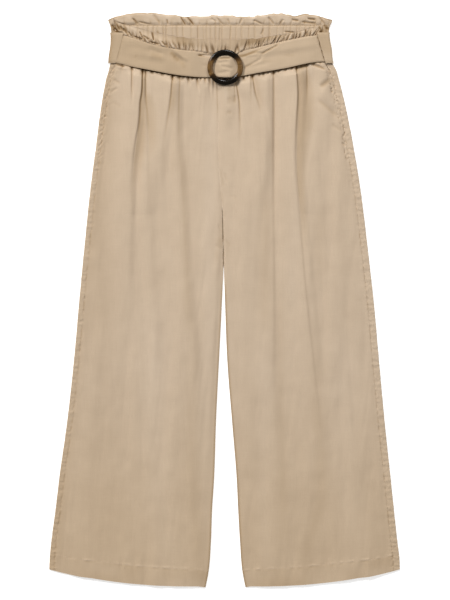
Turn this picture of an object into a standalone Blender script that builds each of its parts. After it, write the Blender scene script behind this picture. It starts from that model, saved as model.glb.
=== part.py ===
"""Wide-leg culottes with a gathered paper-bag waist and a ring-buckle belt, laid flat on their back.

+X runs to the wearer's left, +Y up the garment and +Z up from the surface it lies on.
All sizes below are in millimetres; heights are measured up the garment from the lowest point of the hem.
Cloth pieces are lofted through their sections as an open surface, then given their wall with Solidify.
"""
import math

import bpy
import numpy as np
from mathutils import Matrix

# Driving dimensions
LENGTH = 919.0             # lowest point of the hem to the peak of the back frill
WALL = 1.1                 # thickness of every cloth wall
GAP = 0.3                  # clearance between neighbouring pieces
LAYER = WALL + GAP         # rise from one cloth layer to the next
SEAM_INSET = 9.0           # side seam, in from the outline: the back panel wraps to the front
HEM_RISE = 28.0            # how much higher the hem is at its outer corner
HEM_FLAT = 50.0            # half width over which the hem stays level
HEM_BLEND = 120.0          # height over which the hem's curve dies out
WAIST_START = 795.0        # height above which the front's rows squeeze up to its waist seam
BACK_SEAM = 856.0          # height of the seam between the back panels and the back waistband
FRONT_SEAM_BELOW_BELT = 12.0  # front waist seam, below the belt's middle line
FRILL_STITCH = 898.6       # height of the stitching between the casing and the back frill

# Layers, counted up from the surface
FLOOR_LAYER, BACK_LAYER, FRONT_LAYER, BELT_LAYER, TAIL_LAYER, LOOP_LAYER = range(6)


def layer_top(layer):
    """Height of the top of a layer in the stack at the waist."""
    return layer * LAYER + WALL


# Outline of the two legs and the waist: the rows of every panel are cut at these heights
LEG_COLUMNS = ("height", "right_outer", "right_inner", "left_inner", "left_outer")
LEG_SECTIONS = (
    (0.0, -279.6, -30.0, 33.5, 279.6),
    (27.0, -279.6, -25.0, 28.0, 279.6),
    (75.0, -276.6, -21.7, 24.7, 275.8),
    (171.0, -264.9, -16.9, 19.9, 266.2),
    (267.0, -251.4, -13.7, 11.9, 255.8),
    (363.0, -241.0, -8.9, 3.9, 247.0),
    (459.0, -232.4, -4.1, 0.7, 238.6),
    (515.0, -227.2, -1.8, -1.2, 232.2),
    (560.0, -222.6, -2.7, -2.3, 226.8),
    (608.0, -218.0, -4.2, -3.8, 221.3),
    (655.0, -212.6, -8.2, -7.8, 214.8),
    (700.0, -206.0, -10.7, -10.3, 207.3),
    (750.0, -200.2, -10.7, -10.3, 198.5),
    (795.0, -192.7, -10.7, -10.3, 188.1),
    (815.0, -188.0, -10.7, -10.3, 182.8),
    (827.0, -184.7, -10.7, -10.3, 178.2),
    (835.0, -181.3, -10.7, -10.3, 173.0),
    (884.0, -180.0, -10.7, -10.3, 166.4),
    (898.6, -183.4, -10.7, -10.3, 170.2),
    (906.0, -185.2, -10.7, -10.3, 170.8),
)

# Top edge of the back frill
FRILL_TOP = (
    # across, height
    (-185.0, 906.0), (-164.0, 915.0), (-130.0, 919.0), (-68.0, 913.3), (0.0, 914.5),
    (37.0, 912.5), (95.0, 917.3), (153.0, 912.3), (171.0, 906.0),
)
FRONT_FRILL_MIDDLE = 875.0   # height of the front frill's edge at the middle
FRONT_FRILL_CURVE = 31.0     # how much it rises towards the sides
WAIST_HALF = 178.0           # half the waist's width, for the curves across it

# The belt's edges where it shows, from the wearer's right round the buckle to the tail's end
BELT_EDGES = (
    # across, lower edge, upper edge
    (-183.0, 841.5, 884.0), (-161.0, 836.0, 882.0), (-147.0, 832.5, 878.0),
    (-113.0, 825.5, 867.0), (-69.0, 818.0, 859.0), (-37.0, 815.5, 855.5),
    (-24.0, 815.5, 853.0), (-13.0, 815.5, 846.5), (13.0, 815.5, 846.5),
    (24.7, 817.0, 849.8), (49.5, 821.5, 857.0), (96.0, 829.5, 872.0),
    (148.0, 840.0, 882.0), (172.0, 841.5, 884.0),
)
# The sewn end, from the bar of the buckle to the wearer's left, under the tail
SEWN_END_EDGES = (
    (-8.0, 815.5, 846.5), (13.0, 815.5, 846.5), (24.7, 821.0, 855.5), (49.5, 825.0, 862.0),
    (96.0, 832.0, 873.5), (148.0, 841.0, 882.5), (172.0, 841.5, 884.0),
)
BELT_BACK_RISE = 8.0       # how much higher the belt sits at the middle of the back
BELT_SIDE_HEIGHT = 862.0   # height of the belt's middle at the sides
BELT_BUTT = 3.5            # where the front runs end, in from the outline
TAIL_END = 164.0

# Ring buckle
BUCKLE_X, BUCKLE_HEIGHT = 1.0, 831.0
RING_OUTER, RING_INNER = 28.5, 20.0
RING_THICKNESS = 5.5
RING_BOTTOM = 7.1
BAR_HALF_WIDTH = 3.0
BAR_THICKNESS = 1.6
BAR_ROOT = 2.0             # how far each end of the bar runs into the ring
BAR_EDGE = 0.7             # rounding of the bar's edges
BAR_MIDDLE = 7.9           # height of the bar's middle above the surface
RAMP_LENGTH = 14.0         # the strap climbs from the rim to the bar over this length
RIM_CLEAR = 19.6           # the strap is down again this far from the buckle's middle
EDGE_CLEAR = 20.2          # and its edges are down at this radius
EDGE_RAMP = 2.2

# Largest folds of the fronts: soft ridges that hang from the gathers and die out down the leg
FOLD_COLUMNS = ("side", "top_x", "foot_x", "foot_height", "half_width", "rise")
FOLDS = (
    ("right", -158.0, -176.0, 640.0, 13.0, 1.8),
    ("right", -103.0, -112.0, 430.0, 19.0, 3.0),
    ("right", -45.0, -52.0, 330.0, 17.0, 2.6),
    ("left", 38.0, 40.0, 420.0, 17.0, 2.2),
    ("left", 98.0, 130.0, 230.0, 14.0, 3.5),
    ("left", 146.0, 172.0, 400.0, 15.0, 2.2),
)
FOLD_CLEAR = 3.0           # folds start this far below the belt
FOLD_GROW = 26.0           # and reach their full height over this length

# Frill waves, as tall ridges across the waist
FRONT_WAVE_RISE = 3.4
BACK_WAVE_RISE = 2.8
WAVE_STEP = 21.0           # average distance between two waves
WAVE_DRIFT = 6.0           # their spacing drifts by this much

# Pocket bags between the panels
POCKET_WIDTH = 112.0
POCKET_FOOT, POCKET_TOP = 622.0, 811.0
POCKET_CORNER = 60.0       # height over which the lower corner rounds off
POCKET_MARGIN = 8.0        # the front stays lifted this far past the bag
POCKET_SLOPE = 16.0        # the front comes down off the bag over this width
POCKET_LIFT_FOOT = 560.0

BEND_STEPS = 4             # straight steps in each half turn of cloth

CLOTH_COLOUR = (0.58, 0.45, 0.31, 1.0)
BELT_COLOUR = (0.54, 0.41, 0.27, 1.0)
BUCKLE_COLOUR = (0.035, 0.018, 0.01, 1.0)


def table_value(table, across, column):
    """Value of one column of a table, between its rows."""
    rows = np.array(table)
    return np.interp(across, rows[:, 0], rows[:, column])


def leg_edge(name, height):
    """Across position of one edge of the outline at a height."""
    return table_value(LEG_SECTIONS, height, LEG_COLUMNS.index(name))


def ease(share):
    """Smooth step from 0 to 1."""
    share = np.clip(share, 0.0, 1.0)
    return share * share * (3.0 - 2.0 * share)


def belt_lower(across):
    return table_value(BELT_EDGES, across, 1)


def belt_upper(across):
    """Highest edge of whatever lies on the waist: strap, sewn end or buckle."""
    upper = table_value(BELT_EDGES, across, 2)
    if across > BUCKLE_X:
        upper = max(upper, table_value(SEWN_END_EDGES, across, 2))
    reach = RING_OUTER ** 2 - (across - BUCKLE_X) ** 2
    return max(upper, BUCKLE_HEIGHT + math.sqrt(max(0.0, reach)))


def front_seam(across):
    """Height of the seam between the front panels and the front waistband, under the belt."""
    middle = 835.5 + 25.5 * (abs(across) / WAIST_HALF) ** 1.6
    return middle - FRONT_SEAM_BELOW_BELT


def front_frill(across):
    """Height of the front frill's edge."""
    return FRONT_FRILL_MIDDLE + FRONT_FRILL_CURVE * (across / WAIST_HALF) ** 2


def hem_height(across, row_height):
    """Height of a point of a leg: the hem curves up to its outer corner."""
    rise = HEM_RISE * (max(0.0, abs(across) - HEM_FLAT) / 228.0) ** 2.2
    return row_height + rise * max(0.0, 1.0 - row_height / HEM_BLEND) ** 2


def waist_lift(height):
    """The back rises over the belt that runs under it."""
    return LAYER * ease((height - 812.0) / 18.0)


def side_lift(height):
    """The pocket bags lift the front and the side seams over them."""
    return LAYER * ease((height - POCKET_LIFT_FOOT) / (608.0 - POCKET_LIFT_FOOT))


def pocket_reach(height):
    """Width of the pocket bag, in from the outline: its lower corner is round."""
    corner = np.clip((height - POCKET_FOOT) / POCKET_CORNER, 0.0, 1.0)
    return POCKET_WIDTH * (0.62 + 0.38 * math.sqrt(1.0 - (1.0 - corner) ** 2))


def fold_rise(side, across, height):
    """Height of the front's folds at a point."""
    total = 0.0
    for fold in FOLDS:
        values = dict(zip(FOLD_COLUMNS, fold))
        if values["side"] != side:
            continue
        down = (WAIST_START - height) / (WAIST_START - values["foot_height"])
        middle = values["top_x"] + (values["foot_x"] - values["top_x"]) * down
        half_width = values["half_width"] * (1.0 + 0.6 * max(0.0, down))
        away = abs(across - middle) / half_width
        if away >= 1.0 or down >= 1.0:
            continue
        fade = ease(1.0 - down) * ease((belt_lower(across) - FOLD_CLEAR - height) / FOLD_GROW)
        total += values["rise"] * fade * math.cos(away * math.pi / 2.0) ** 2
    return total


def front_top(side, across, height, inset):
    """Height of a front panel's upper face, inset from the outline by the given distance."""
    off_bag = (inset - pocket_reach(height + 25.0) - POCKET_MARGIN) / POCKET_SLOPE
    pocket = side_lift(height) * (1.0 - ease(off_bag))
    base = LAYER + WALL + max(pocket, waist_lift(height))
    edge = ease((inset - SEAM_INSET) / 14.0)
    return base + fold_rise(side, across, height) * edge


def bend(centre_x, centre_z, radius, start, stop):
    """Across and up positions round a bend in the cloth, from one angle to another in degrees."""
    angles = np.radians(np.linspace(start, stop, BEND_STEPS + 1))
    return [(centre_x + radius * math.cos(a), centre_z + radius * math.sin(a)) for a in angles]


def wrapped_section(inner_x, outer_x, return_x, bottom, top, steps):
    """Outer face of a back piece: along its underside, round the outline and back over the front."""
    side = math.copysign(1.0, outer_x)
    radius = (top - bottom) / 2.0
    flat_end = outer_x - side * radius
    across = [(x, bottom) for x in np.linspace(inner_x, flat_end, steps)[:-1]]
    turn = bend(0.0, (top + bottom) / 2.0, radius, -90.0, 90.0)
    across += [(flat_end + side * x, z) for x, z in turn]
    return across + [(return_x, top)]


def cloth_piece(name, grid, colour, collection):
    """A cloth wall on a grid of points, rows up the garment, its outer face to the front."""
    grid = np.array(grid)
    rows, columns = grid.shape[:2]
    points = (grid.reshape(-1, 3) - (0.0, LENGTH / 2.0, 0.0)) * 0.001
    faces = [
        (r * columns + c, r * columns + c + 1, (r + 1) * columns + c + 1, (r + 1) * columns + c)
        for r in range(rows - 1)
        for c in range(columns - 1)
    ]
    mesh = bpy.data.meshes.new(name)
    mesh.from_pydata([tuple(p) for p in points], [], faces)
    piece = bpy.data.objects.new(name, mesh)
    collection.objects.link(piece)
    wall = piece.modifiers.new("Wall", "SOLIDIFY")
    wall.thickness = WALL * 0.001
    wall.offset = -1.0
    mesh.materials.append(make_material(name, colour, 0.85))
    return piece


def make_material(name, colour, roughness):
    material = bpy.data.materials.new(name)
    material.use_nodes = True
    shader = material.node_tree.nodes["Principled BSDF"]
    shader.inputs["Base Color"].default_value = colour
    shader.inputs["Roughness"].default_value = roughness
    shader.inputs["Metallic"].default_value = 0.0
    return material


def panel_heights():
    """Row heights of the legs, from the hem to below the waist seams."""
    return [row[0] for row in LEG_SECTIONS if row[0] <= 835.0]


def back_panel(side, collection):
    """Back of one leg, with the strip that wraps round to the front's side seam."""
    sign = 1.0 if side == "left" else -1.0
    grid = []
    for row_height in panel_heights() + [BACK_SEAM - GAP / 2.0]:
        outer = leg_edge(side + "_outer", row_height)
        inner = leg_edge(side + "_inner", row_height)
        bottom = waist_lift(row_height)
        top = LAYER + WALL + max(side_lift(row_height), waist_lift(row_height))
        section = wrapped_section(inner, outer, outer - sign * SEAM_INSET, bottom, top, 8)
        grid.append([(x, hem_height(x, row_height), z) for x, z in section])
    grid = np.array(grid)
    return cloth_piece("back_" + side, grid[:, ::-1] if side == "left" else grid,
                       CLOTH_COLOUR, collection)


def front_panel(side, collection):
    """Front of one leg: it lies on the back and the pocket bag, with the folds of its gathers."""
    sign = 1.0 if side == "left" else -1.0
    side_seam_top = front_seam(WAIST_HALF)
    grid = []
    for row_height in panel_heights() + [side_seam_top]:
        outer = leg_edge(side + "_outer", row_height)
        inner = leg_edge(side + "_inner", row_height)
        points = []
        for share in np.linspace(0.0, 1.0, 20):
            x = inner + share * (outer - sign * (SEAM_INSET + GAP) - inner)
            height = hem_height(x, row_height)
            if row_height > WAIST_START:
                squeeze = (front_seam(x) - WAIST_START) / (side_seam_top - WAIST_START)
                height = WAIST_START + (row_height - WAIST_START) * squeeze
            points.append((x, height, front_top(side, x, height, sign * (outer - x))))
        grid.append(points)
    grid = np.array(grid)
    return cloth_piece("front_" + side, grid[:, ::-1] if side == "right" else grid,
                       CLOTH_COLOUR, collection)


def frill_wave(across, phase):
    """Uneven waves of the gathered frill, from 0 to 1."""
    place = across + WAVE_DRIFT * math.sin(across / 37.0 + phase)
    return 0.5 + 0.5 * math.sin(2.0 * math.pi * place / WAVE_STEP + phase)


def waistband_back(collection):
    """Casing and frill of the back, wrapped round to the front at both sides."""
    top = layer_top(FRONT_LAYER)
    half = []
    for side in ("right", "left"):
        sign = 1.0 if side == "left" else -1.0
        rows = []
        for level in range(5):
            outer_height = (BACK_SEAM + GAP / 2.0, 884.0, FRILL_STITCH, 902.0, 906.0)[level]
            outer = leg_edge(side + "_outer", outer_height)
            section = wrapped_section(0.0, outer, outer - sign * SEAM_INSET, LAYER, top, 26)
            row = []
            for x, z in section:
                edge = table_value(FRILL_TOP, x, 1)
                clear = max(FRILL_STITCH, front_frill(x) + 2.0)
                clear = min(clear, edge - 3.0)
                height = (BACK_SEAM + GAP / 2.0, 884.0, clear,
                          (clear + edge) / 2.0, edge)[level]
                height = min(height, clear) if level < 3 else height
                grow = 0.0 if level < 3 else (height - clear) / 16.0
                lift = BACK_WAVE_RISE * grow * frill_wave(x, 0.7) if z < LAYER + 0.01 else 0.0
                row.append((x, height, z + lift))
            rows.append(row)
        half.append(np.array(rows))
    grid = np.concatenate([half[0][:, :0:-1], half[1]], axis=1)
    return cloth_piece("waistband_back", grid[:, ::-1], CLOTH_COLOUR, collection)


def waistband_front(collection):
    """Casing and frill of the front: flat under the belt, waved above it."""
    base = layer_top(FRONT_LAYER)
    grid = []
    for level in range(5):
        right = leg_edge("right_outer", 884.0) + SEAM_INSET + GAP
        left = leg_edge("left_outer", 884.0) - SEAM_INSET - GAP
        row = []
        for x in np.linspace(right, left, 54):
            seam = front_seam(x) + GAP
            clear = belt_upper(x) + 1.5
            edge = front_frill(x)
            height = (seam, (seam + clear) / 2.0, clear, (clear + edge) / 2.0, edge)[level]
            grow = (0.0, 0.0, 0.0, 0.8, 1.0)[level] * ease((WAIST_HALF - 8.0 - abs(x)) / 14.0)
            row.append((x, height, base + FRONT_WAVE_RISE * grow * frill_wave(x, 2.1)))
        grid.append(row)
    return cloth_piece("waistband_front", grid, CLOTH_COLOUR, collection)


def pocket_bag(side, collection):
    """Pocket bag between the panels, behind the opening in the side seam."""
    sign = 1.0 if side == "left" else -1.0
    grid = []
    for height in np.linspace(POCKET_FOOT, POCKET_TOP, 8):
        outer = leg_edge(side + "_outer", height)
        start = outer - sign * SEAM_INSET
        stop = outer - sign * pocket_reach(height)
        grid.append([(x, height, LAYER + WALL) for x in np.linspace(start, stop, 4)])
    grid = np.array(grid)
    return cloth_piece("pocket_bag_" + side, grid[:, ::-1] if side == "left" else grid,
                       CLOTH_COLOUR, collection)


def buckle_hump(across, height, slack=0.0):
    """How far a belt layer has climbed over the buckle's bar, from 0 at the rim to 1."""
    x, y = across - BUCKLE_X, height - BUCKLE_HEIGHT
    along = (RIM_CLEAR - slack - abs(x)) / RAMP_LENGTH
    edge = (EDGE_CLEAR - slack - math.hypot(x, y)) / EDGE_RAMP
    return float(np.clip(min(along, edge), 0.0, 1.0))


def side_slant(across, height):
    """Shift that keeps the belt's ends parallel to the garment's slanting side."""
    side = "left_outer" if across > 0.0 else "right_outer"
    slant = leg_edge(side, height) - leg_edge(side, BELT_SIDE_HEIGHT)
    return slant * ease((abs(across) - 120.0) / 40.0)


def belt_grid(edges, stations, up, rows=5):
    """Belt points: stations along it, rows from its lower to its upper edge."""
    grid = []
    for share in np.linspace(0.0, 1.0, rows):
        row = []
        for x in stations:
            lower, upper = table_value(edges, x, 1), table_value(edges, x, 2)
            height = lower + share * (upper - lower)
            row.append((x + side_slant(x, height), height, up(x, height)))
        grid.append(row)
    return grid


BUCKLE_STATIONS = (-24.0, -20.0, -17.0, -13.0, -9.0, -5.0, 0.0, 5.0, 9.0, 13.0, 17.0, 20.0, 24.0)
STRAP_OVER_BAR = 11.9      # upper face of the strap over the bar
SEWN_SLACK = 2.0           # the sewn end is down again this much nearer the middle
SEWN_OVER_BAR = 10.1       # upper face of the sewn end's turn round the bar


def belt_strap(collection):
    """The strap from the wearer's right through the buckle, ending as the tail on the left."""
    start = leg_edge("right_outer", BELT_SIDE_HEIGHT) - LAYER + BELT_BUTT
    stations = list(np.linspace(start, -34.0, 9)) + [BUCKLE_X + x for x in BUCKLE_STATIONS]
    stations += list(np.linspace(34.0, TAIL_END, 8))

    def up(x, height):
        base = layer_top(TAIL_LAYER if x > BUCKLE_X else BELT_LAYER)
        return base + (STRAP_OVER_BAR - base) * buckle_hump(x, height)

    return cloth_piece("belt_strap", belt_grid(BELT_EDGES, stations, up), BELT_COLOUR, collection)


def belt_sewn_end(collection):
    """The belt's sewn end: turned round the buckle's bar, then out under the tail."""
    stop = leg_edge("left_outer", BELT_SIDE_HEIGHT) + LAYER - BELT_BUTT
    stations = [BUCKLE_X + BAR_HALF_WIDTH + GAP]
    stations += [BUCKLE_X + x for x in BUCKLE_STATIONS if x >= 5.0]
    stations += list(np.linspace(34.0, stop, 8))
    base = layer_top(BELT_LAYER)

    def up(x, height):
        return base + (SEWN_OVER_BAR - base) * buckle_hump(x, height, SEWN_SLACK)

    run = np.array(belt_grid(SEWN_END_EDGES, stations, up))
    radius = SEWN_OVER_BAR - BAR_MIDDLE
    turn = [(8.0, BAR_MIDDLE - radius)]
    turn += bend(-(BAR_HALF_WIDTH - BAR_THICKNESS / 2.0), BAR_MIDDLE, radius, 270.0, 90.0)
    wrap = [[(BUCKLE_X + x, row[0][1], z) for x, z in turn] for row in run]
    return cloth_piece("belt_sewn_end", np.concatenate([wrap, run], axis=1), BELT_COLOUR, collection)


def belt_back(collection):
    """The belt behind the garment, bent up round both sides to meet the front runs."""
    top = layer_top(BELT_LAYER)
    grid = []
    for share in np.linspace(0.0, 1.0, 4):
        halves = []
        for side in ("right", "left"):
            sign = 1.0 if side == "left" else -1.0
            height = 841.5 + share * (884.0 - 841.5)
            outer = leg_edge(side + "_outer", height) + sign * LAYER
            butt = outer - sign * (BELT_BUTT - GAP)
            section = wrapped_section(0.0, outer, butt, 0.0, top, 7)
            rise = [BELT_BACK_RISE * ease(1.0 - abs(x) / 165.0) for x, _ in section]
            halves.append([(x, height + up, z) for (x, z), up in zip(section, rise)])
        grid.append(halves[0][:0:-1] + halves[1])
    return cloth_piece("belt_back", np.array(grid)[:, ::-1], BELT_COLOUR, collection)


def belt_loop(side, collection):
    """Belt loop over the side seam, from above the belt to below it, bent down at the outline."""
    sign = 1.0 if side == "left" else -1.0
    top = layer_top(LOOP_LAYER if side == "left" else TAIL_LAYER)
    low, high = 838.0, 887.0
    inner_low, inner_high = (161.5, 147.5) if side == "left" else (-174.3, -161.5)
    radius = 3.2
    grid = []
    for share in np.linspace(0.0, 1.0, 5):
        height = low + share * (high - low)
        outer = leg_edge(side + "_outer", height) + sign * 2.0 * LAYER
        inner = inner_low + share * (inner_high - inner_low)
        flat_end = outer - sign * radius
        section = [(x, top) for x in np.linspace(inner, flat_end, 3)[:-1]]
        turn = bend(0.0, top - radius, radius, 90.0, 0.0)
        section += [(flat_end + sign * x, z) for x, z in turn]
        section += [(outer, GAP)]
        grid.append([(x, height, z) for x, z in section])
    grid = np.array(grid)
    return cloth_piece("belt_loop_" + side, grid[:, ::-1] if side == "right" else grid,
                       BELT_COLOUR, collection)


def ring_buckle(collection):
    """Round buckle: a turned ring with a flat bar across its middle, moulded in one."""
    place = (BUCKLE_X * 0.001, (BUCKLE_HEIGHT - LENGTH / 2.0) * 0.001, 0.0)
    middle_radius = (RING_OUTER + RING_INNER) / 2.0
    half_width = (RING_OUTER - RING_INNER) / 2.0
    middle_z = RING_BOTTOM + RING_THICKNESS / 2.0
    profile = []
    for angle in np.radians(np.linspace(90.0, -270.0, 12, endpoint=False)):
        across = middle_radius + half_width * math.cos(angle)
        profile.append((across * 0.001, 0.0, (middle_z + RING_THICKNESS / 2.0 * math.sin(angle)) * 0.001))
    mesh = bpy.data.meshes.new("ring_buckle")
    mesh.from_pydata(profile, [(i, (i + 1) % len(profile)) for i in range(len(profile))], [])
    ring = bpy.data.objects.new("ring_buckle", mesh)
    ring.location = place
    collection.objects.link(ring)
    turn = ring.modifiers.new("Turn", "SCREW")
    turn.steps = turn.render_steps = 40
    turn.use_merge_vertices = True
    turn.merge_threshold = 0.00001
    mesh.materials.append(make_material("ring_buckle", BUCKLE_COLOUR, 0.15))

    bpy.ops.mesh.primitive_cube_add(size=1.0)
    bar = bpy.context.active_object
    bar.name = "buckle_bar_cutter"
    size = (2.0 * BAR_HALF_WIDTH, 2.0 * (RING_INNER + BAR_ROOT), BAR_THICKNESS)
    bar.data.transform(Matrix.Diagonal([value * 0.001 for value in size] + [1.0]))
    bar.location = (place[0], place[1], BAR_MIDDLE * 0.001)
    bar.hide_render = True
    bar.display_type = "WIRE"
    round_edges = bar.modifiers.new("Round", "BEVEL")
    round_edges.width = BAR_EDGE * 0.001
    round_edges.segments = 2
    for user in list(bar.users_collection):
        user.objects.unlink(bar)
    cutters = bpy.data.collections.new("cutters")
    bpy.context.scene.collection.children.link(cutters)
    cutters.objects.link(bar)
    join = ring.modifiers.new("Bar", "BOOLEAN")
    join.operation = "UNION"
    join.object = bar
    return ring


def build():
    for thing in list(bpy.data.objects):
        bpy.data.objects.remove(thing, do_unlink=True)
    collection = bpy.data.collections.new("culottes")
    bpy.context.scene.collection.children.link(collection)
    for side in ("right", "left"):
        back_panel(side, collection)
        front_panel(side, collection)
        pocket_bag(side, collection)
        belt_loop(side, collection)
    waistband_back(collection)
    waistband_front(collection)
    belt_back(collection)
    belt_sewn_end(collection)
    belt_strap(collection)
    ring_buckle(collection)


build()
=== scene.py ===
"""Wide-leg culottes laid flat on their back: finished cloth, seams, frill, belt and ring buckle.

Sizes in the tables are millimetres; heights are measured up the garment from the lowest point of the hem.
"""

import math

import bmesh
import bpy
import numpy as np
from mathutils import Matrix, Vector


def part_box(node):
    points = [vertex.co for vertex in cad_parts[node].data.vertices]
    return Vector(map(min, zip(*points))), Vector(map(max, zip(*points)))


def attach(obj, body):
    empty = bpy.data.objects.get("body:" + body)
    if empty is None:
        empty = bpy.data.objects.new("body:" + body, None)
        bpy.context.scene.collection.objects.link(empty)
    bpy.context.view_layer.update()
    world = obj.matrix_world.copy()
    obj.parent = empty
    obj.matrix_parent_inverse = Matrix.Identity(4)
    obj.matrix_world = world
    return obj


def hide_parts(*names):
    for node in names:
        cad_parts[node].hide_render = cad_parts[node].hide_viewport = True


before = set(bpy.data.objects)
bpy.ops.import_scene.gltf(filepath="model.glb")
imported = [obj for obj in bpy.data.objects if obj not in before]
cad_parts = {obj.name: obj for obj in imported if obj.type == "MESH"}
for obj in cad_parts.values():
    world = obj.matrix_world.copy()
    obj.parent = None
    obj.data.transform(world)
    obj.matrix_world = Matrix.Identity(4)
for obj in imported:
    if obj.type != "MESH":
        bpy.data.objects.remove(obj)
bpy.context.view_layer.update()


# ---------------------------------------------------------------------------------------------
# Back of each leg: a flared panel of washed cotton and linen, wider than the front, so its edge
# wraps round the outline and meets the front in a puckered side seam. It lies flat on its face.
# ---------------------------------------------------------------------------------------------
SIDES = {"right": -1.0, "left": 1.0}    # the wearer's, and which way each runs across
MM = 0.001                   # a millimetre in metres
HEM_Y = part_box("back_right")[0][1]
SHELL = 0.55                 # thickness of one layer of cloth
RIM_ANGLE = 62.0             # edges sharper than this, in degrees, are cut edges
SHADE_TINT = (0.119, 0.07, 0.0276)   # colour that painted shade darkens the cloth towards: brown at its deepest
PAINTED_LIGHT_LIMIT = -0.12            # the most that painted light brightens a place that faces the light
LAYER = 1.4                  # rise from one layer of the stack to the next
WALL = 1.1                   # room that the lowest layer takes
SEAM_INSET = {"right": 8.0, "left": 10.5}   # from the outline in to the side seam
LEG_WIDTH = 245.0            # across one hem
HEM_RISE, HEM_FLAT, HEM_BLEND = 28.0, 50.0, 120.0
HEM_INNER, HEM_OUTER, HEM_ARCH = 27.0, 26.0, 3.5   # depth of the hem at both ends, and more between
POCKET = {"right": (680.0, 832.0), "left": (688.0, 832.0)}   # both ends of each pocket opening
BACK_SEAM = 856.0            # the seam between the backs and the waistband

LEG_COLUMNS = ("height", "right_outer", "right_inner", "left_inner", "left_outer")
LEG_SECTIONS = np.array((
    (-10, -280.4, -32.5, 35.5, 280.4), (27, -279.9, -25.3, 28.4, 279.9), (75, -276.6, -21.7, 24.7, 275.8),
    (123, -270.6, -20, 21.9, 271), (171, -264.9, -16.9, 19.6, 266), (267, -251.6, -13.6, 11.9, 255.9),
    (363, -241, -8.9, 4.4, 247), (459, -232.4, -4.1, 0.7, 238.4), (515, -227.2, -1.9, -1.1, 232.2),
    (560, -222.7, -2.7, -2.3, 227), (608, -217.8, -4.2, -3.8, 221.2), (655, -212.4, -8.2, -7.8, 214.6),
    (700, -206.3, -10.7, -10.3, 207), (750, -200.1, -10.7, -10.3, 197.6), (795, -193, -10.7, -10.3, 187.3),
    (815, -188.9, -10.7, -10.3, 182), (827, -185.2, -10.7, -10.3, 178.4),
    (836, -183.2, -10.7, -10.3, 173.6), (860, -182.1, -10.7, -10.3, 170), (884, -181.5, -10.7, -10.3, 167),
    (898.6, -184.8, -10.7, -10.3, 171.3), (920, -187.8, -10.7, -10.3, 172.4),
))


def ease(share):
    """Smooth step from 0 to 1."""
    share = np.clip(share, 0.0, 1.0)
    return share * share * (3.0 - 2.0 * share)


def soft_noise(across, along, seed, cell_across, cell_along):
    """Smooth random hills and hollows between -1 and 1, with cells of the given size."""
    columns, rows, offset = 97, 89, 500.0
    lattice = np.random.default_rng(seed).uniform(-1.0, 1.0, (columns, rows))
    a, b = across / cell_across + offset, along / cell_along + offset
    i, j = np.floor(a).astype(int), np.floor(b).astype(int)
    s, t = ease(a - i), ease(b - j)
    corner = [lattice[(i + di) % columns, (j + dj) % rows] for di in (0, 1) for dj in (0, 1)]
    low = corner[0] * (1 - t) + corner[1] * t
    high = corner[2] * (1 - t) + corner[3] * t
    return low * (1 - s) + high * s


def noise_along(along, seed, cell_across, cell_along):
    """The same hills and hollows along one line."""
    return soft_noise(along * 0.0, along, seed, cell_across, cell_along)


def noise_across(across, seed, cell_across, cell_along):
    """The same hills and hollows across one line."""
    return soft_noise(across, np.zeros_like(across), seed, cell_across, cell_along)


def bell(away, wide):
    """1 in the middle, falling smoothly away to both sides."""
    return np.exp(-(away / wide) ** 2)


def smooth_line(knots, values, at):
    """Smooth curve through a table's values."""
    slopes = np.gradient(values, knots)
    at = np.clip(at, knots[0], knots[-1])
    cell = np.clip(np.searchsorted(knots, at) - 1, 0, len(knots) - 2)
    span = knots[cell + 1] - knots[cell]
    t = (at - knots[cell]) / span
    low = (2 * t ** 3 - 3 * t ** 2 + 1) * values[cell] + (t ** 3 - 2 * t ** 2 + t) * slopes[cell] * span
    high = (3 * t ** 2 - 2 * t ** 3) * values[cell + 1] + (t ** 3 - t ** 2) * slopes[cell + 1] * span
    return low + high


def leg_edge(name, height):
    """Across position of one edge of the outline."""
    return smooth_line(LEG_SECTIONS[:, 0], LEG_SECTIONS[:, LEG_COLUMNS.index(name)], height)


def middle_edge(side, height, closed_from):
    """Inner edge of a leg; above the crotch the two sides of the middle seam butt together."""
    gap = np.abs(leg_edge("left_inner", height) - leg_edge("right_inner", height))
    shut = (gap - 0.06) / 2.0 * ease((height - closed_from + 8.0) / 8.0)
    return leg_edge(side + "_inner", height) - SIDES[side] * shut


def crotch_slit(side, height):
    """The fronts stand a little apart just above the crotch, unevenly."""
    wide = 0.55 + 0.35 * noise_along(height, 18, 10.0, 9.0)
    return SIDES[side] * wide * ease((height - 512.0) / 10.0) * ease((612.0 - height) / 18.0)


def hem_height(across, row_height):
    """Height of a point of a leg: the hem curves up to its outer corner."""
    rise = HEM_RISE * (np.maximum(0.0, np.abs(across) - HEM_FLAT) / 228.0) ** 2.2
    rise = rise + 1.5 * ease((236.0 - np.abs(across)) / 26.0) * ease((np.abs(across) - 30.0) / 14.0)
    return row_height + rise * np.maximum(0.0, 1.0 - row_height / HEM_BLEND) ** 2


def hem_stitch(share):
    """Height of the hem's stitching above its edge, from the leg's inner edge to its side seam."""
    share = np.clip(share, 0.0, 1.0)
    return HEM_INNER + (HEM_OUTER - HEM_INNER) * share + 4.0 * HEM_ARCH * share * (1.0 - share)


def leg_painted_shade(height):
    """Painted shade down the legs for the light that falls off towards the hem: a little everywhere, more
    towards the hem, and a touch more near the waist.
    """
    return 0.018 + 0.037 * ease((420.0 - height) / 400.0) + 0.007 * ease((height - 660.0) / 80.0)


def waist_lift(height):
    """The back rises over the belt that runs behind it."""
    return LAYER * ease((height - 812.0) / 18.0)


def side_lift(height):
    """The pocket bag and seam turnings lift the side seam."""
    return LAYER * ease((height - 540.0) / 90.0)


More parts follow.
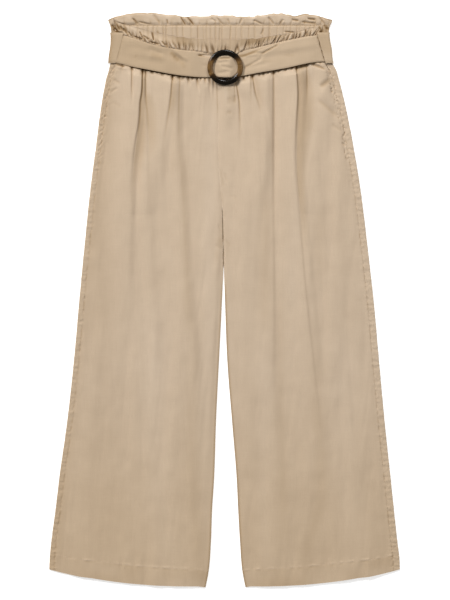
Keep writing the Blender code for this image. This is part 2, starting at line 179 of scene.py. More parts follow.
def seam_pucker(side, height, reach):
    """The side seam draws up: small cross ridges all the way down, and pits along the pocket opening.

    reach runs inwards from the seam, and is negative on the strip between the seam and the outline.
    """
    low, high = POCKET[side]
    pocket = ease((height - low + 15.0) / 30.0) * ease((high + 14.0 - height) / 14.0)
    seed, strength, band = (11, 0.48, (-3.4, 1.6)) if side == "right" else (12, 0.50, (-3.4, 6.0))
    inside = np.maximum(reach, 0.0)
    long, short = (soft_noise(reach, height, seed, 40.0, 2.8), soft_noise(reach, height, seed + 2, 3.2, 2.7))
    ridges = strength * (0.75 * long + 0.75 * short) * np.exp(-inside / 3.4)
    lumps = 0.42 * soft_noise(reach, height, seed + 4, 4.2, 3.8) * bell(inside, 8.0)
    draw = np.random.default_rng(seed + 6)
    pits = np.zeros_like(height)
    place = low - 10.0
    while place < high + 4.0:
        place += draw.uniform(2.0, 3.9)
        middle, wide, deep = draw.uniform(*band), draw.uniform(1.0, 1.8), draw.uniform(0.7, 2.1)
        slant = draw.uniform(-0.7, 0.9)
        away = height - place - slant * (reach - middle)
        pits -= deep * np.exp(-(away / 1.3) ** 2 - ((reach - middle) / wide) ** 2)
    return ridges * (1.0 - 0.5 * pocket) + (lumps + pits) * pocket


def seam_groove(height, reach):
    """The sunk line of the seam itself, deeper here and shallower there."""
    depth = 0.30 + 0.30 * noise_along(height, 19, 10.0, 6.0)
    return depth * bell(reach, 1.3)


def seam_shade(height, reach):
    """How deep the seam's line sits in shade: it comes and goes."""
    return (0.07 + 0.11 * noise_along(height, 20, 9.0, 5.0)) * bell(reach, 1.2)


def side_painted_shade(side, height, reach):
    """Painted shade beside the outline, where the cloth rolls away from the light, most of all along the
    right pocket.
    """
    off_edge = np.maximum(reach + SEAM_INSET[side], 0.0)
    if side == "left":
        return 0.05 * ease((height - 780.0) / 30.0) * bell(off_edge, 8.0)
    strength = 0.10 + 0.09 * ease((height - 690.0) / 90.0) + 0.03 * ease((250.0 - height) / 120.0)
    return strength * bell(off_edge, 15.0)


def row_heights(steps):
    """Rows from the hem upwards: (up to this height, this far apart)."""
    rows, start = [], 0.0
    for stop, step in steps:
        rows.append(np.arange(start, stop, step))
        start = stop
    return np.concatenate(rows + [[start]])


def grid_faces(rows, columns):
    """Corners of the four-sided faces of a grid, facing the front."""
    corner = (np.arange(rows - 1)[:, None] * columns + np.arange(columns - 1)).ravel()
    return np.stack([corner, corner + 1, corner + columns + 1, corner + columns], axis=1)


def plain_underside(points, thickness, step):
    """Points and faces of a face's hidden underside, with fewer points, and of the rim between them."""
    rows, columns = points.shape[:2]
    low = points[:, :, 2]
    for axis in (0, 1):
        pad = [(step, step) if axis == way else (0, 0) for way in (0, 1)]
        wide = np.pad(low, pad, mode="edge")
        shifts = [range(k, k + low.shape[axis]) for k in range(2 * step + 1)]
        low = np.min([np.take(wide, shift, axis=axis) for shift in shifts], axis=0)
    up = np.unique(np.append(np.arange(0, rows, step), rows - 1))
    along = np.unique(np.append(np.arange(0, columns, step), columns - 1))
    under = points[up][:, along].copy()
    under[:, :, 2] = low[up][:, along] - thickness
    index = rows * columns + np.arange(len(up) * len(along)).reshape(len(up), len(along))
    top = np.arange(rows * columns).reshape(rows, columns)
    faces = (grid_faces(len(up), len(along))[:, ::-1] + rows * columns).tolist()
    rim = ((top[0], index[0], along, False), (top[-1], index[-1], along, True),
           (top[:, 0], index[:, 0], up, True), (top[:, -1], index[:, -1], up, False))
    for fine, coarse, picked, turned in rim:
        for k in range(len(picked) - 1):
            above = fine[picked[k]:picked[k + 1] + 1].tolist()
            below = coarse[k:k + 2].tolist()
            faces.append(above + below[::-1] if turned else below + above[::-1])
    return under.reshape(-1, 3), faces, up, along


def add_thing(name, data):
    """A new object at the origin, in the scene."""
    thing = bpy.data.objects.new(name, data)
    bpy.context.scene.collection.objects.link(thing)
    return thing


def settle(piece):
    """Turns a piece's modifier into plain mesh and removes it."""
    mesh = bpy.data.meshes.new_from_object(piece.evaluated_get(bpy.context.evaluated_depsgraph_get()))
    piece.modifiers.clear()
    piece.data = mesh
    mesh.name = piece.name
    return mesh


def cloth_sheet(name, points, thickness, material, cut=None, shade=0.0, under_step=1):
    """A thin cloth shell on a grid of points, rows up the garment, with its outer face in front.

    points are millimetres. cut is each point's place in the cut piece in metres, which is its place in
    the garment if it isn't given. shade is the painted shade at each point, up to 1, and a little below
    0 for painted light where it faces the light. under_step thins out the points of the hidden underside.
    """
    rows, columns = points.shape[:2]
    cut = points[:, :, :2] * MM if cut is None else cut
    shade = shade * np.ones((rows, columns))
    place, faces = points.reshape(-1, 3), grid_faces(rows, columns).tolist()
    cut_at, shade_at = cut.reshape(-1, 2), shade.ravel()
    if under_step > 1:
        under, more, up, along = plain_underside(points, thickness, under_step)
        place, faces = np.concatenate([place, under]), faces + more
        cut_at = np.concatenate([cut_at, cut[up][:, along].reshape(-1, 2)])
        shade_at = np.concatenate([shade_at, shade[up][:, along].ravel()])
    mesh = bpy.data.meshes.new(name)
    mesh.from_pydata((place * MM + (0.0, HEM_Y, 0.0)).tolist(), [], faces)
    layer = mesh.uv_layers.new(name="cut")
    layer.data.foreach_set("uv", cut_at[np.concatenate(faces)].ravel())
    # Painted shade and light: stored as the power of the tint that scales the cloth's colour.
    painted_shade = mesh.attributes.new("painted_shade", "FLOAT", "POINT")
    light_left = 1.0 - (1.0 - SHADE_TINT[1]) * np.clip(shade_at, PAINTED_LIGHT_LIMIT, 1.0)
    painted_shade.data.foreach_set("value", np.log(light_left) / math.log(SHADE_TINT[1]))
    mesh.shade_smooth()
    mesh.materials.append(material)
    piece = add_thing(name, mesh)
    if under_step == 1:
        wall = piece.modifiers.new("Cloth thickness", "SOLIDIFY")
        wall.thickness = thickness * MM
        wall.offset = -1.0
        mesh = settle(piece)
    mesh.set_sharp_from_angle(angle=math.radians(RIM_ANGLE))
    return piece


def declare_sheet(piece, node):
    """The frame calls that every cloth piece makes."""
    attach(piece, "root")
    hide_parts(node)


def node_socket(tree, kind, way, name, value=None):
    """One named socket of a node group."""
    socket = tree.interface.new_socket(name=name, in_out=way, socket_type=kind)
    if value is not None:
        socket.default_value = value
    return socket


def add_node(tree, kind, **settings):
    """A new node with its settings."""
    node = tree.nodes.new(kind)
    for key, value in settings.items():
        setattr(node, key, value)
    return node


def feed(tree, node, **values):
    """Sets a node's inputs by name, each to a value or to another node's output; _ stands for a space."""
    for name, value in values.items():
        socket = node.inputs[name.replace("_", " ")]
        if isinstance(value, bpy.types.NodeSocket):
            tree.links.new(value, socket)
        else:
            socket.default_value = value
    return node


def maths(tree, operation, *values):
    """Output of one maths node on numbers and other nodes' outputs."""
    node = add_node(tree, "ShaderNodeMath", operation=operation)
    for socket, value in zip(node.inputs, values):
        if isinstance(value, bpy.types.NodeSocket):
            tree.links.new(value, socket)
        else:
            socket.default_value = value
    return node.outputs[0]


def new_material(name):
    """A new material, its nodes and its shader."""
    material = bpy.data.materials.new(name)
    material.use_nodes = True
    return material, material.node_tree, material.node_tree.nodes["Principled BSDF"]


def plain_weave_group():
    """Shader group: fine plain weave with thick and thin yarns, for cloth whose coordinates are metres."""
    tree = bpy.data.node_groups.new("plain weave", "ShaderNodeTree")
    node_socket(tree, "NodeSocketVector", "INPUT", "Cut")
    node_socket(tree, "NodeSocketFloat", "INPUT", "Threads per metre", 1900.0)
    node_socket(tree, "NodeSocketFloat", "INPUT", "Yarn streaks", 1.0)
    node_socket(tree, "NodeSocketFloat", "OUTPUT", "Height")
    node_socket(tree, "NodeSocketFloat", "OUTPUT", "Yarn tone")
    start = add_node(tree, "NodeGroupInput")
    end = add_node(tree, "NodeGroupOutput")
    split = add_node(tree, "ShaderNodeSeparateXYZ")
    tree.links.new(start.outputs["Cut"], split.inputs[0])
    waves = []
    for way in (0, 1):
        threads = maths(tree, "MULTIPLY", split.outputs[way], start.outputs["Threads per metre"])
        waves.append(maths(tree, "SINE", maths(tree, "MULTIPLY", threads, math.pi)))
    weave = maths(tree, "MULTIPLY", *waves)

    streaks = []
    for stretch in ((1.0, 0.045, 1.0), (0.06, 1.0, 1.0)):
        scale = add_node(tree, "ShaderNodeVectorMath", operation="MULTIPLY")
        tree.links.new(start.outputs["Cut"], scale.inputs[0])
        scale.inputs[1].default_value = stretch
        noise = add_node(tree, "ShaderNodeTexNoise", noise_dimensions="2D")
        feed(tree, noise, Scale=720.0, Detail=2.0, Vector=scale.outputs[0])
        streaks.append(maths(tree, "SUBTRACT", noise.outputs[0], 0.5))
    tone = maths(tree, "ADD", streaks[0], maths(tree, "MULTIPLY", streaks[1], 0.8))
    tone = maths(tree, "MULTIPLY", tone, start.outputs["Yarn streaks"])
    height = maths(tree, "ADD", maths(tree, "MULTIPLY", weave, 0.35), maths(tree, "MULTIPLY", tone, 1.5))
    tree.links.new(height, end.inputs["Height"])
    tree.links.new(tone, end.inputs["Yarn tone"])
    return tree


WEAVE = plain_weave_group()


def cloth_material(name, colour):
    """Washed plain-weave cloth: yarn streaks, faint mottling from washing, a soft sheen, and painted shade
    and painted light from each point's shade attribute.
    """
    material, tree, shader = new_material(name)
    cut = add_node(tree, "ShaderNodeUVMap", uv_map="cut")
    weave = add_node(tree, "ShaderNodeGroup", node_tree=WEAVE)
    feed(tree, weave, Cut=cut.outputs[0], Yarn_streaks=1.1)
    place = add_node(tree, "ShaderNodeTexCoord").outputs["Object"]
    cloud = add_node(tree, "ShaderNodeTexNoise")
    feed(tree, cloud, Scale=24.0, Detail=5.0, Roughness=0.55, Vector=place)
    yarns = maths(tree, "MULTIPLY", weave.outputs["Yarn tone"], 0.26)
    wash = maths(tree, "SUBTRACT", cloud.outputs[0], 0.5)
    tone = add_node(tree, "ShaderNodeMapRange")
    feed(tree, tone, Value=maths(tree, "MULTIPLY_ADD", wash, 0.7, yarns), From_Min=-1.0, From_Max=1.0)
    swing = [0.24 * share for share in (0.9, 1.0, 1.12)]     # the blue of the cloth varies most
    dark = [value * (1.0 - part) for value, part in zip(colour, swing)]
    light = [value * (1.0 + part) for value, part in zip(colour, swing)]
    blend = add_node(tree, "ShaderNodeMix", data_type="RGBA")
    feed(tree, blend, Factor=tone.outputs[0], A=(*dark, 1.0), B=(*light, 1.0))

    # Painted shade: each point's shade attribute darkens the colour towards brown in creases, under the belt
    # and where the cloth faces away from the light; below 0 it is painted light.
    painted_shade = add_node(tree, "ShaderNodeAttribute", attribute_name="painted_shade")
    dimmed = feed(tree, add_node(tree, "ShaderNodeGamma"), Color=(*SHADE_TINT, 1.0), Gamma=painted_shade.outputs["Fac"])
    deep = add_node(tree, "ShaderNodeMix", data_type="RGBA", blend_type="MULTIPLY")
    feed(tree, deep, Factor=1.0, A=blend.outputs["Result"], B=dimmed.outputs[0])
    # The colour turns warmer and a little darker towards the hem.
    spot = add_node(tree, "ShaderNodeSeparateXYZ")
    tree.links.new(place, spot.inputs[0])
    low = add_node(tree, "ShaderNodeMapRange", interpolation_type="SMOOTHSTEP")
    feed(tree, low, Value=spot.outputs[1], From_Min=HEM_Y + 0.400, From_Max=HEM_Y + 0.010)
    warm = add_node(tree, "ShaderNodeMix", data_type="RGBA", blend_type="MULTIPLY")
    feed(tree, warm, Factor=low.outputs[0], A=deep.outputs["Result"], B=(1.0, 0.976, 0.925, 1.0))

    bump = feed(tree, add_node(tree, "ShaderNodeBump"), Strength=0.22, Distance=0.0002,
                Height=weave.outputs["Height"])
    feed(tree, shader, Base_Color=warm.outputs["Result"], Normal=bump.outputs[0], Roughness=0.86,
         Specular_IOR_Level=0.08, Sheen_Weight=0.12, Sheen_Tint=(0.80, 0.60, 0.40, 1.0), Sheen_Roughness=0.5)
    return material


CLOTH = cloth_material("washed cloth", (0.584, 0.456, 0.331))


def round_edge(across, up, centre, middle, radius, sign, angles):
    """Adds the columns of a rounded edge to lists of across and up positions."""
    for angle in np.radians(angles):
        across.append(centre + sign * radius * math.cos(angle))
        up.append(middle + radius * math.sin(angle))


def cloth_run(across, up):
    """Length of cloth along each row, from its first point."""
    steps = np.hypot(np.diff(across, axis=1, prepend=across[:, :1]), np.diff(up, axis=1, prepend=up[:, :1]))
    return np.cumsum(steps, axis=1)


def back_wrap(side, inner, height):
    """Across and up positions of a back piece's outer face, along its underside and round the outline.

    Returns across, up, the distance from the side seam, and how many columns lie on the underside.
    """
    sign = SIDES[side]
    outer = leg_edge(side + "_outer", height)
    bottom = waist_lift(height)
    top = LAYER + WALL + np.maximum(side_lift(height), waist_lift(height))
    radius = (top - bottom) / 2.0
    flat_end = outer - sign * radius
    shares = np.concatenate([(0.0, 0.006, 0.013, 0.022), np.linspace(0.035, 0.88, 50),
                             np.linspace(0.9, 1.0, 8)[:-1]])
    across = [inner + share * (flat_end - inner) for share in shares]
    up = [bottom] * len(shares)
    round_edge(across, up, flat_end, (top + bottom) / 2.0, radius, sign, np.linspace(-90.0, 90.0, 9))
    edge = outer - sign * SEAM_INSET[side]
    for share in np.linspace(0.0, 1.0, 10)[1:]:
        across.append(flat_end + share * (edge - flat_end))
        up.append(top)
    across, up = np.stack(across, axis=1), np.stack(up, axis=1)
    reach = sign * (across - edge[:, None])
    return across, up, reach, len(shares)


# A fold's row: its crest's heights from the top down, its place across at each, the widths of its two
# flanks, how much it spreads on its way down, and its rise.
FOLD_COLUMNS = ("heights", "crest", "left", "right", "spread", "rise")
BACK_FOLDS = {
    "right": (
        ((790, 680, 520, 330), (-117, -123, -131, -138), 22, 12, 1.6, 1.45),
        ((800, 690, 560), (-52, -58, -66), 12, 20, 1.5, 1.5),
        ((640, 430, 180, 40), (-88, -97, -112, -120), 20, 26, 1.5, 1.15),
        ((700, 560, 380), (-168, -178, -192), 16, 14, 1.4, 0.8),
        ((470, 300, 90), (-184, -200, -219), 24, 18, 1.3, 1.15),
        ((600, 420, 200), (-30, -36, -50), 14, 22, 1.5, 1.3),
        ((798, 730, 610), (-21, -24, -33), 8, 10, 1.4, 1.2),
    ),
    "left": (
        ((795, 690, 540, 360), (47, 52, 61, 70), 13, 20, 1.6, 1.6),
        ((788, 660, 520), (96, 103, 116), 18, 12, 1.5, 1.5),
        ((600, 400, 150, 30), (128, 141, 160, 168), 26, 18, 1.5, 1.6),
        ((760, 640, 470), (152, 165, 182), 12, 15, 1.4, 1.3),
        ((480, 310, 100), (38, 46, 62), 20, 16, 1.4, 1.4),
        ((420, 260, 70), (206, 220, 238), 16, 20, 1.3, 1.2),
        ((800, 720, 600), (16, 19, 27), 9, 8, 1.5, 1.2),
    ),
}
BACK_GATHERS = (
    # across, how far it runs down from the belt, and its width
    (-162, 34, 3.6), (-147, 52, 4.4), (-129, 30, 3.6), (-117, 60, 4.8), (-98, 38, 4), (-84, 48, 3.6),
    (-66, 30, 4.4), (-52, 64, 4.2), (-37, 36, 3.6), (-21, 50, 4.4), (15, 54, 4.2), (29, 34, 3.6),
    (47, 62, 4.4), (61, 32, 4), (80, 44, 3.6), (96, 62, 4.8), (113, 36, 4), (126, 48, 3.6), (145, 32, 4.4),
    (157, 44, 3.6),
)


UNDER_BELT = 810.0           # a fold that starts above this height comes out from under the belt


def flank(away, left, right):
    """Rounded ridge: 1 on its crest, 0 past its left and right flanks."""
    share = np.where(away < 0.0, -away / left, away / right)
    return np.where(share < 1.0, 0.5 + 0.5 * np.cos(np.pi * np.clip(share, 0.0, 1.0)), 0.0)


def named_rows(table, columns):
    """A table's rows with a name for each column."""
    return [dict(zip(columns, row)) for row in table]


def line_at(row, column, height):
    """Place across at each height of a line that a row gives from the top down."""
    return smooth_line(np.array(row["heights"][::-1]), np.array(row[column][::-1]), height)


def hanging_folds(table, across, height, below_belt):
    """Long folds that hang from the gathers, placed one by one."""
    total = np.zeros_like(across)
    for fold in named_rows(table, FOLD_COLUMNS):
        top, foot = fold["heights"][0], fold["heights"][-1]
        down = (top - height) / (top - foot)
        wide = 1.0 + (fold["spread"] - 1.0) * np.clip(down, 0.0, 1.0)
        start = ease((below_belt - 1.0) / 14.0) if top > UNDER_BELT else ease(down / 0.25)
        fade = start * ease((1.0 - down) / 0.45)
        away = across - line_at(fold, "crest", height)
        total += fold["rise"] * fade * flank(away, fold["left"] * wide, fold["right"] * wide)
    return total


BELT_SIDE_LOW, BELT_SIDE_HIGH = 841.5, 884.0     # the belt's two edges at the sides of the waist


def belt_behind_edge(across):
    """Lower edge of the belt where it runs behind the back."""
    return BELT_SIDE_LOW + 8.0 * ease(1.0 - np.abs(across) / 165.0)


def back_gathers(across, below_belt):
    """Rise of the back's face over the belt, and how deep its gathers are.

    The cloth between the gathers drops to the floor just below the belt; the gathers come down slowly.
    """
    steep = ease((10.0 - below_belt) / 9.0)
    crease, slow = np.zeros_like(across), steep
    low_down = np.clip(below_belt, 0.0, 60.0)
    for middle, length, width in BACK_GATHERS:
        length = 1.4 * length
        lean = 0.06 * low_down * np.sign(middle)
        near = bell(across - middle - lean, width * (1.0 + 0.012 * low_down))
        slow = np.where(near > crease, ease((length - below_belt) / length), slow)
        crease = np.maximum(crease, near)
    return LAYER * (crease * np.maximum(slow, steep) + (1.0 - crease) * steep), crease * slow


BACK_CROTCH = 516.0          # the two backs butt together from here up


def back_panel(side):
    """One back, from its hem to the waistband."""
    sign = SIDES[side]
    rows = row_heights(((60.0, 1.8), (640.0, 1.65), (BACK_SEAM, 1.4)))
    inner = middle_edge(side, rows, BACK_CROTCH)
    across, up, reach, flat = back_wrap(side, inner, rows)
    height = hem_height(across, rows[:, None])
    on_top = np.zeros_like(across)
    on_top[:, flat + 3:] = 1.0
    under = 1.0 - on_top
    pucker = seam_pucker(side, height, -np.abs(reach))
    up = up + (pucker - seam_groove(height, reach)) * on_top
    across = across + sign * 0.35 * pucker * on_top
    off_inner = np.abs(across - inner[:, None])

    below_belt = belt_behind_edge(across) - height
    folds = 1.35 * hanging_folds(BACK_FOLDS[side], across, height, below_belt)
    folds += np.maximum(0.0, soft_noise(across, height, 31, 30.0, 180.0)) * 0.6
    folds += np.maximum(0.0, soft_noise(across, height, 32, 12.0, 60.0)) * 0.4
    on_bag = ease((height - 598.0) / 22.0) * ease((140.0 + reach) / 22.0)
    folds *= 1.0 - 0.72 * on_bag
    gathers, deep = back_gathers(across, below_belt)
    aside = ease((off_inner - 2.0) / 6.0) * ease(-(reach + 3.0) / 10.0)
    up = up + (gathers - waist_lift(height)) * aside * under
    above_hem = height - hem_height(across, 0.0)
    hem = bell(above_hem - hem_stitch(off_inner / LEG_WIDTH), 1.4) * 0.35
    quiet = ease(off_inner / 12.0) * ease(-(reach - 2.0) / 12.0)
    up = up + (folds * quiet + hem) * under * (1.0 - ease((height - 800.0) / 30.0))
    up = up + 0.9 * (1.0 - ease(off_inner / 3.0)) * under
    points = np.stack([across, height, up], axis=2)
    cut = np.stack([inner[:, None] + sign * cloth_run(across, up), height], axis=2) * MM

    # Painted shade baked into the colour: along the seam, beside the outline, down the legs, along the inner
    # edge and deeper in the crotch slit, and in the gathers below the belt.
    shade = (seam_shade(height, reach) + side_painted_shade(side, height, -np.abs(reach))) * on_top + leg_painted_shade(height)
    in_slit = ease((height - 492.0) / 14.0) * ease((640.0 - height) / 20.0)
    shade = shade + (0.10 + 0.40 * in_slit) * bell(off_inner, 1.6) * under
    shade = shade + 0.32 * deep * ease(1.0 - below_belt / 30.0) * aside * under
    if side == "left":
        points, cut, shade = points[:, ::-1], cut[:, ::-1], shade[:, ::-1]
    return cloth_sheet(side + "_back_leg", points, SHELL, CLOTH, cut, shade)


STITCH_PITCH, STITCH_LENGTH, THREAD = 3.2, 2.4, 0.5     # thread is its thickness


def stitch_tree():
    """Geometry nodes: short thread stitches set end to end along a path of edges."""
    tree = bpy.data.node_groups.new("running stitches", "GeometryNodeTree")
    node_socket(tree, "NodeSocketGeometry", "INPUT", "Path")
    node_socket(tree, "NodeSocketFloat", "INPUT", "Pitch", 0.003)
    node_socket(tree, "NodeSocketFloat", "INPUT", "Stitch length", 0.002)
    node_socket(tree, "NodeSocketFloat", "INPUT", "Thread", 0.0005)
    node_socket(tree, "NodeSocketMaterial", "INPUT", "Thread finish")
    node_socket(tree, "NodeSocketGeometry", "OUTPUT", "Stitches")
    start = add_node(tree, "NodeGroupInput").outputs
    end = add_node(tree, "NodeGroupOutput")
    path = feed(tree, add_node(tree, "GeometryNodeMeshToCurve"), Mesh=start["Path"])
    spaced = add_node(tree, "GeometryNodeResampleCurve", mode="LENGTH")
    feed(tree, spaced, Curve=path.outputs[0], Length=start["Pitch"])
    stitch = feed(tree, add_node(tree, "GeometryNodeMeshUVSphere"), Segments=6, Rings=4, Radius=0.5)
    size = add_node(tree, "ShaderNodeCombineXYZ")
    feed(tree, size, X=start["Thread"], Y=start["Thread"], Z=start["Stitch length"])
    tangent = add_node(tree, "GeometryNodeInputTangent")
    turn = add_node(tree, "FunctionNodeAlignRotationToVector", axis="Z")
    feed(tree, turn, Vector=tangent.outputs[0])
    place = add_node(tree, "GeometryNodeInstanceOnPoints")
    feed(tree, place, Points=spaced.outputs[0], Instance=stitch.outputs["Mesh"], Rotation=turn.outputs[0],
         Scale=size.outputs[0])
    real = feed(tree, add_node(tree, "GeometryNodeRealizeInstances"), Geometry=place.outputs[0])
    finish = add_node(tree, "GeometryNodeSetMaterial")
    feed(tree, finish, Geometry=real.outputs[0], Material=start["Thread finish"])
    smooth = feed(tree, add_node(tree, "GeometryNodeSetShadeSmooth"), Geometry=finish.outputs[0])
    tree.links.new(smooth.outputs[0], end.inputs["Stitches"])
    return tree


STITCHES = stitch_tree()


def thread_finish():
    """Spun polyester thread, a touch lighter than the cloth, with its twist."""
    material, tree, shader = new_material("sewing thread")
    place = add_node(tree, "ShaderNodeTexCoord")
    twist = feed(tree, add_node(tree, "ShaderNodeTexNoise"), Scale=900.0, Vector=place.outputs["Object"])
    colour = add_node(tree, "ShaderNodeMix", data_type="RGBA")
    feed(tree, colour, A=(0.50, 0.38, 0.26, 1.0), B=(0.68, 0.54, 0.39, 1.0), Factor=twist.outputs[0])
    feed(tree, shader, Base_Color=colour.outputs["Result"], Roughness=0.7)
    return material


THREAD_FINISH = thread_finish()


def sew(name, cloth, lines, from_above=True):
    """Stitches along lines of (across, height) in millimetres, laid on the face of a piece of cloth."""
    corners, edges = [], []
    clear_of_cloth, proud = 0.05, 0.0001     # where the needle starts from, and how proud the thread lies
    way = -1.0 if from_above else 1.0
    for line in lines:
        last = None
        for across, height in line:
            start = Vector((across * MM, HEM_Y + height * MM, -way * clear_of_cloth))
            found, spot, _, _ = cloth.ray_cast(start, Vector((0.0, 0.0, way)))
            if not found:
                last = None
                continue
            corners.append(spot - Vector((0.0, 0.0, way * proud)))
            if last is not None:
                edges.append((last, len(corners) - 1))
            last = len(corners) - 1
    mesh = bpy.data.meshes.new(name)
    mesh.from_pydata([tuple(corner) for corner in corners], edges, [])
    piece = add_thing(name, mesh)
    row = piece.modifiers.new("Stitches", "NODES")
    row.node_group = STITCHES
    values = {"Pitch": STITCH_PITCH * MM, "Stitch length": STITCH_LENGTH * MM, "Thread": THREAD * MM,
              "Thread finish": THREAD_FINISH}
    for socket in STITCHES.interface.items_tree:
        if socket.in_out == "INPUT" and socket.name in values:
            row[socket.identifier] = values[socket.name]
    settle(piece)
    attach(piece, "root")
    return piece


def hem_line(side):
    """Path of the hem's stitching across a leg."""
    sign = SIDES[side]
    inner = leg_edge(side + "_inner", np.array(HEM_INNER))
    outer = leg_edge(side + "_outer", np.array(HEM_OUTER))
    line = []
    for share in np.linspace(0.0, 1.0, 120):
        across = inner + sign * 2.5 + share * (outer - inner - sign * (SEAM_INSET[side] + 4.0))
        line.append((float(across), float(hem_height(across, 0.0) + hem_stitch(share))))
    return line


for side in SIDES:
    leg = back_panel(side)
    hem = sew(side + "_back_hem_stitches", leg, [hem_line(side)], from_above=False)
    declare_sheet(leg, "back_" + side)


# ---------------------------------------------------------------------------------------------
# Pocket bags: a folded pouch of the same cloth behind each pocket opening, sewn into the side
# seam and lying between the front and the back.
# ---------------------------------------------------------------------------------------------
POCKET_WIDTH = 112.0
POCKET_FOOT, POCKET_TOP, POCKET_CORNER = 622.0, 811.0, 60.0     # the last is how far its corner reaches


def pocket_reach(height):
    """Width of the pocket bag, in from the outline: its lower corner is round."""
    corner = np.clip((height - POCKET_FOOT) / POCKET_CORNER, 0.0, 1.0)
    return POCKET_WIDTH * (0.62 + 0.38 * np.sqrt(1.0 - (1.0 - corner) ** 2))


def pocket_bag(side):
    """One pocket bag, from its foot to just under the waist."""
    sign = SIDES[side]
    rows = np.linspace(POCKET_FOOT, POCKET_TOP, 36)
    outer = leg_edge(side + "_outer", rows)
    shares = np.linspace(0.0, 1.0, 24)
    start = outer - sign * (SEAM_INSET[side] + 1.5)
    stop = outer - sign * pocket_reach(rows)
    across = start[:, None] + shares * (stop - start)[:, None]
    height = np.repeat(rows[:, None], len(shares), axis=1)
    up = LAYER + 0.75 + 0.15 * soft_noise(across, height, 41, 18.0, 30.0)
    points = np.stack([across, height, up], axis=2)
    return cloth_sheet(side + "_pocket_bag", points[:, ::-1] if side == "left" else points, SHELL, CLOTH)


for side in SIDES:
    bag = pocket_bag(side)
    declare_sheet(bag, "pocket_bag_" + side)


# ---------------------------------------------------------------------------------------------
# Front of each leg: gathered into the waist seam under the belt, so soft folds hang from it,
# and seamed to the back at the side, in a pocket opening with topstitching near the waist.
# ---------------------------------------------------------------------------------------------
BELT_EDGES = np.array((
    # across, lower edge, upper edge
    (-183, 841.5, 884), (-161, 836, 882), (-147, 832.5, 878), (-113, 825.5, 867), (-69, 818, 859),
    (-37, 815.5, 855.5), (-24, 815.5, 853), (-13, 815.5, 850.4), (13, 815.5, 850.4), (24.7, 817, 849.8),
    (49.5, 821.5, 857), (96, 829.5, 872), (148, 840, 882), (172, 841.5, 884),
))
WAIST_HALF = 178.0           # half the width of the waist
FRONT_CROTCH = 545.0         # the two fronts are sewn together from here up
FRONT_COLUMNS = 187          # points across one front
FRONT_SEAM_BELOW_BELT = 12.0     # how far below the belt's middle line the waist seam runs
SQUEEZE_FROM = 795.0         # above this the rows close up to meet the curved waist seam
LEG_PUFF = 2.2               # how far the front bulges off the back between its edges

FOLD_STRENGTH = 1.05         # on the rise of every fold of the fronts
FRONT_FOLDS = {
    "right": (
        ((836, 795, 776, 738, 699, 661, 623, 584, 500, 400),
         (-132.3, -133.4, -136, -138.8, -144.6, -148, -150.2, -152, -155, -157), 36, 9.5, 1.5, 3.9),
        ((838, 784, 739, 695, 650, 600), (-83.5, -87.8, -94, -100, -101.5, -102), 30, 13, 1.1, 3),
        ((815, 723, 650, 585, 530, 463, 335, 200), (-74, -75, -70.5, -67, -64, -58.5, -48, -40),
         22, 11, 1.7, 2.5),
        ((740, 667, 585, 463, 270), (-128, -127, -127, -119, -104), 13, 14, 1.4, 1.7),
        ((690, 585, 463, 335, 60), (-13, -13, -16, -22, -34), 38, 11, 1, 1.5),
        ((470, 335, 223, 50), (-116, -106, -92, -90), 26, 38, 1.2, 1),
        ((420, 223, 60), (-142, -147, -152), 18, 16, 1.2, 1),
        ((640, 540, 463, 360), (-192, -188, -184, -182), 18, 24, 1.2, -1.8),
        ((836, 800, 765), (-147.5, -147.5, -148), 2.6, 3.4, 1, -1),
    ),
    "left": (
        ((826, 797, 725), (1, 3, 6), 13, 19, 1, 2.7),
        ((834, 797, 766, 723, 560), (39, 41, 54, 61, 50), 18, 9, 2, 2.8),
        ((832, 797, 745, 640), (66, 67, 69, 71), 13, 11, 1.1, 2.4),
        ((838, 795, 757, 719, 670, 623, 565, 488, 411, 331, 248, 171, 20),
         (113, 115.8, 114.6, 112.9, 112.7, 115.8, 120.6, 127, 134.8, 143, 151, 157, 160), 34, 17, 1.4, 4.1),
        ((834, 795, 757, 719, 670, 623, 565, 488, 411, 331, 248, 171),
         (116.5, 119.6, 118.4, 116.5, 116.3, 119.5, 124.3, 130.8, 138.8, 147.5, 156.5, 163),
         3.4, 8, 1.4, -1.3),
        ((815, 585, 463, 270), (80, 81, 82.5, 81), 5, 9, 1.2, -1.5),
        ((540, 335, 223, 70), (74, 74.5, 79, 78), 24, 16, 1.2, 1.5),
        ((838, 797, 690), (160, 160, 163), 24, 18, 1.2, 2.3),
        ((770, 723, 600), (181, 181, 191), 16, 18, 1.1, 1.7),
        ((430, 335, 223, 40), (167, 170, 188, 198), 24, 32, 1.2, 1.3),
        ((680, 585, 400), (34, 34, 34), 20, 24, 1.1, 1.6),
    ),
}
GATHER_COLUMNS = ("across", "lean", "length", "width", "depth")
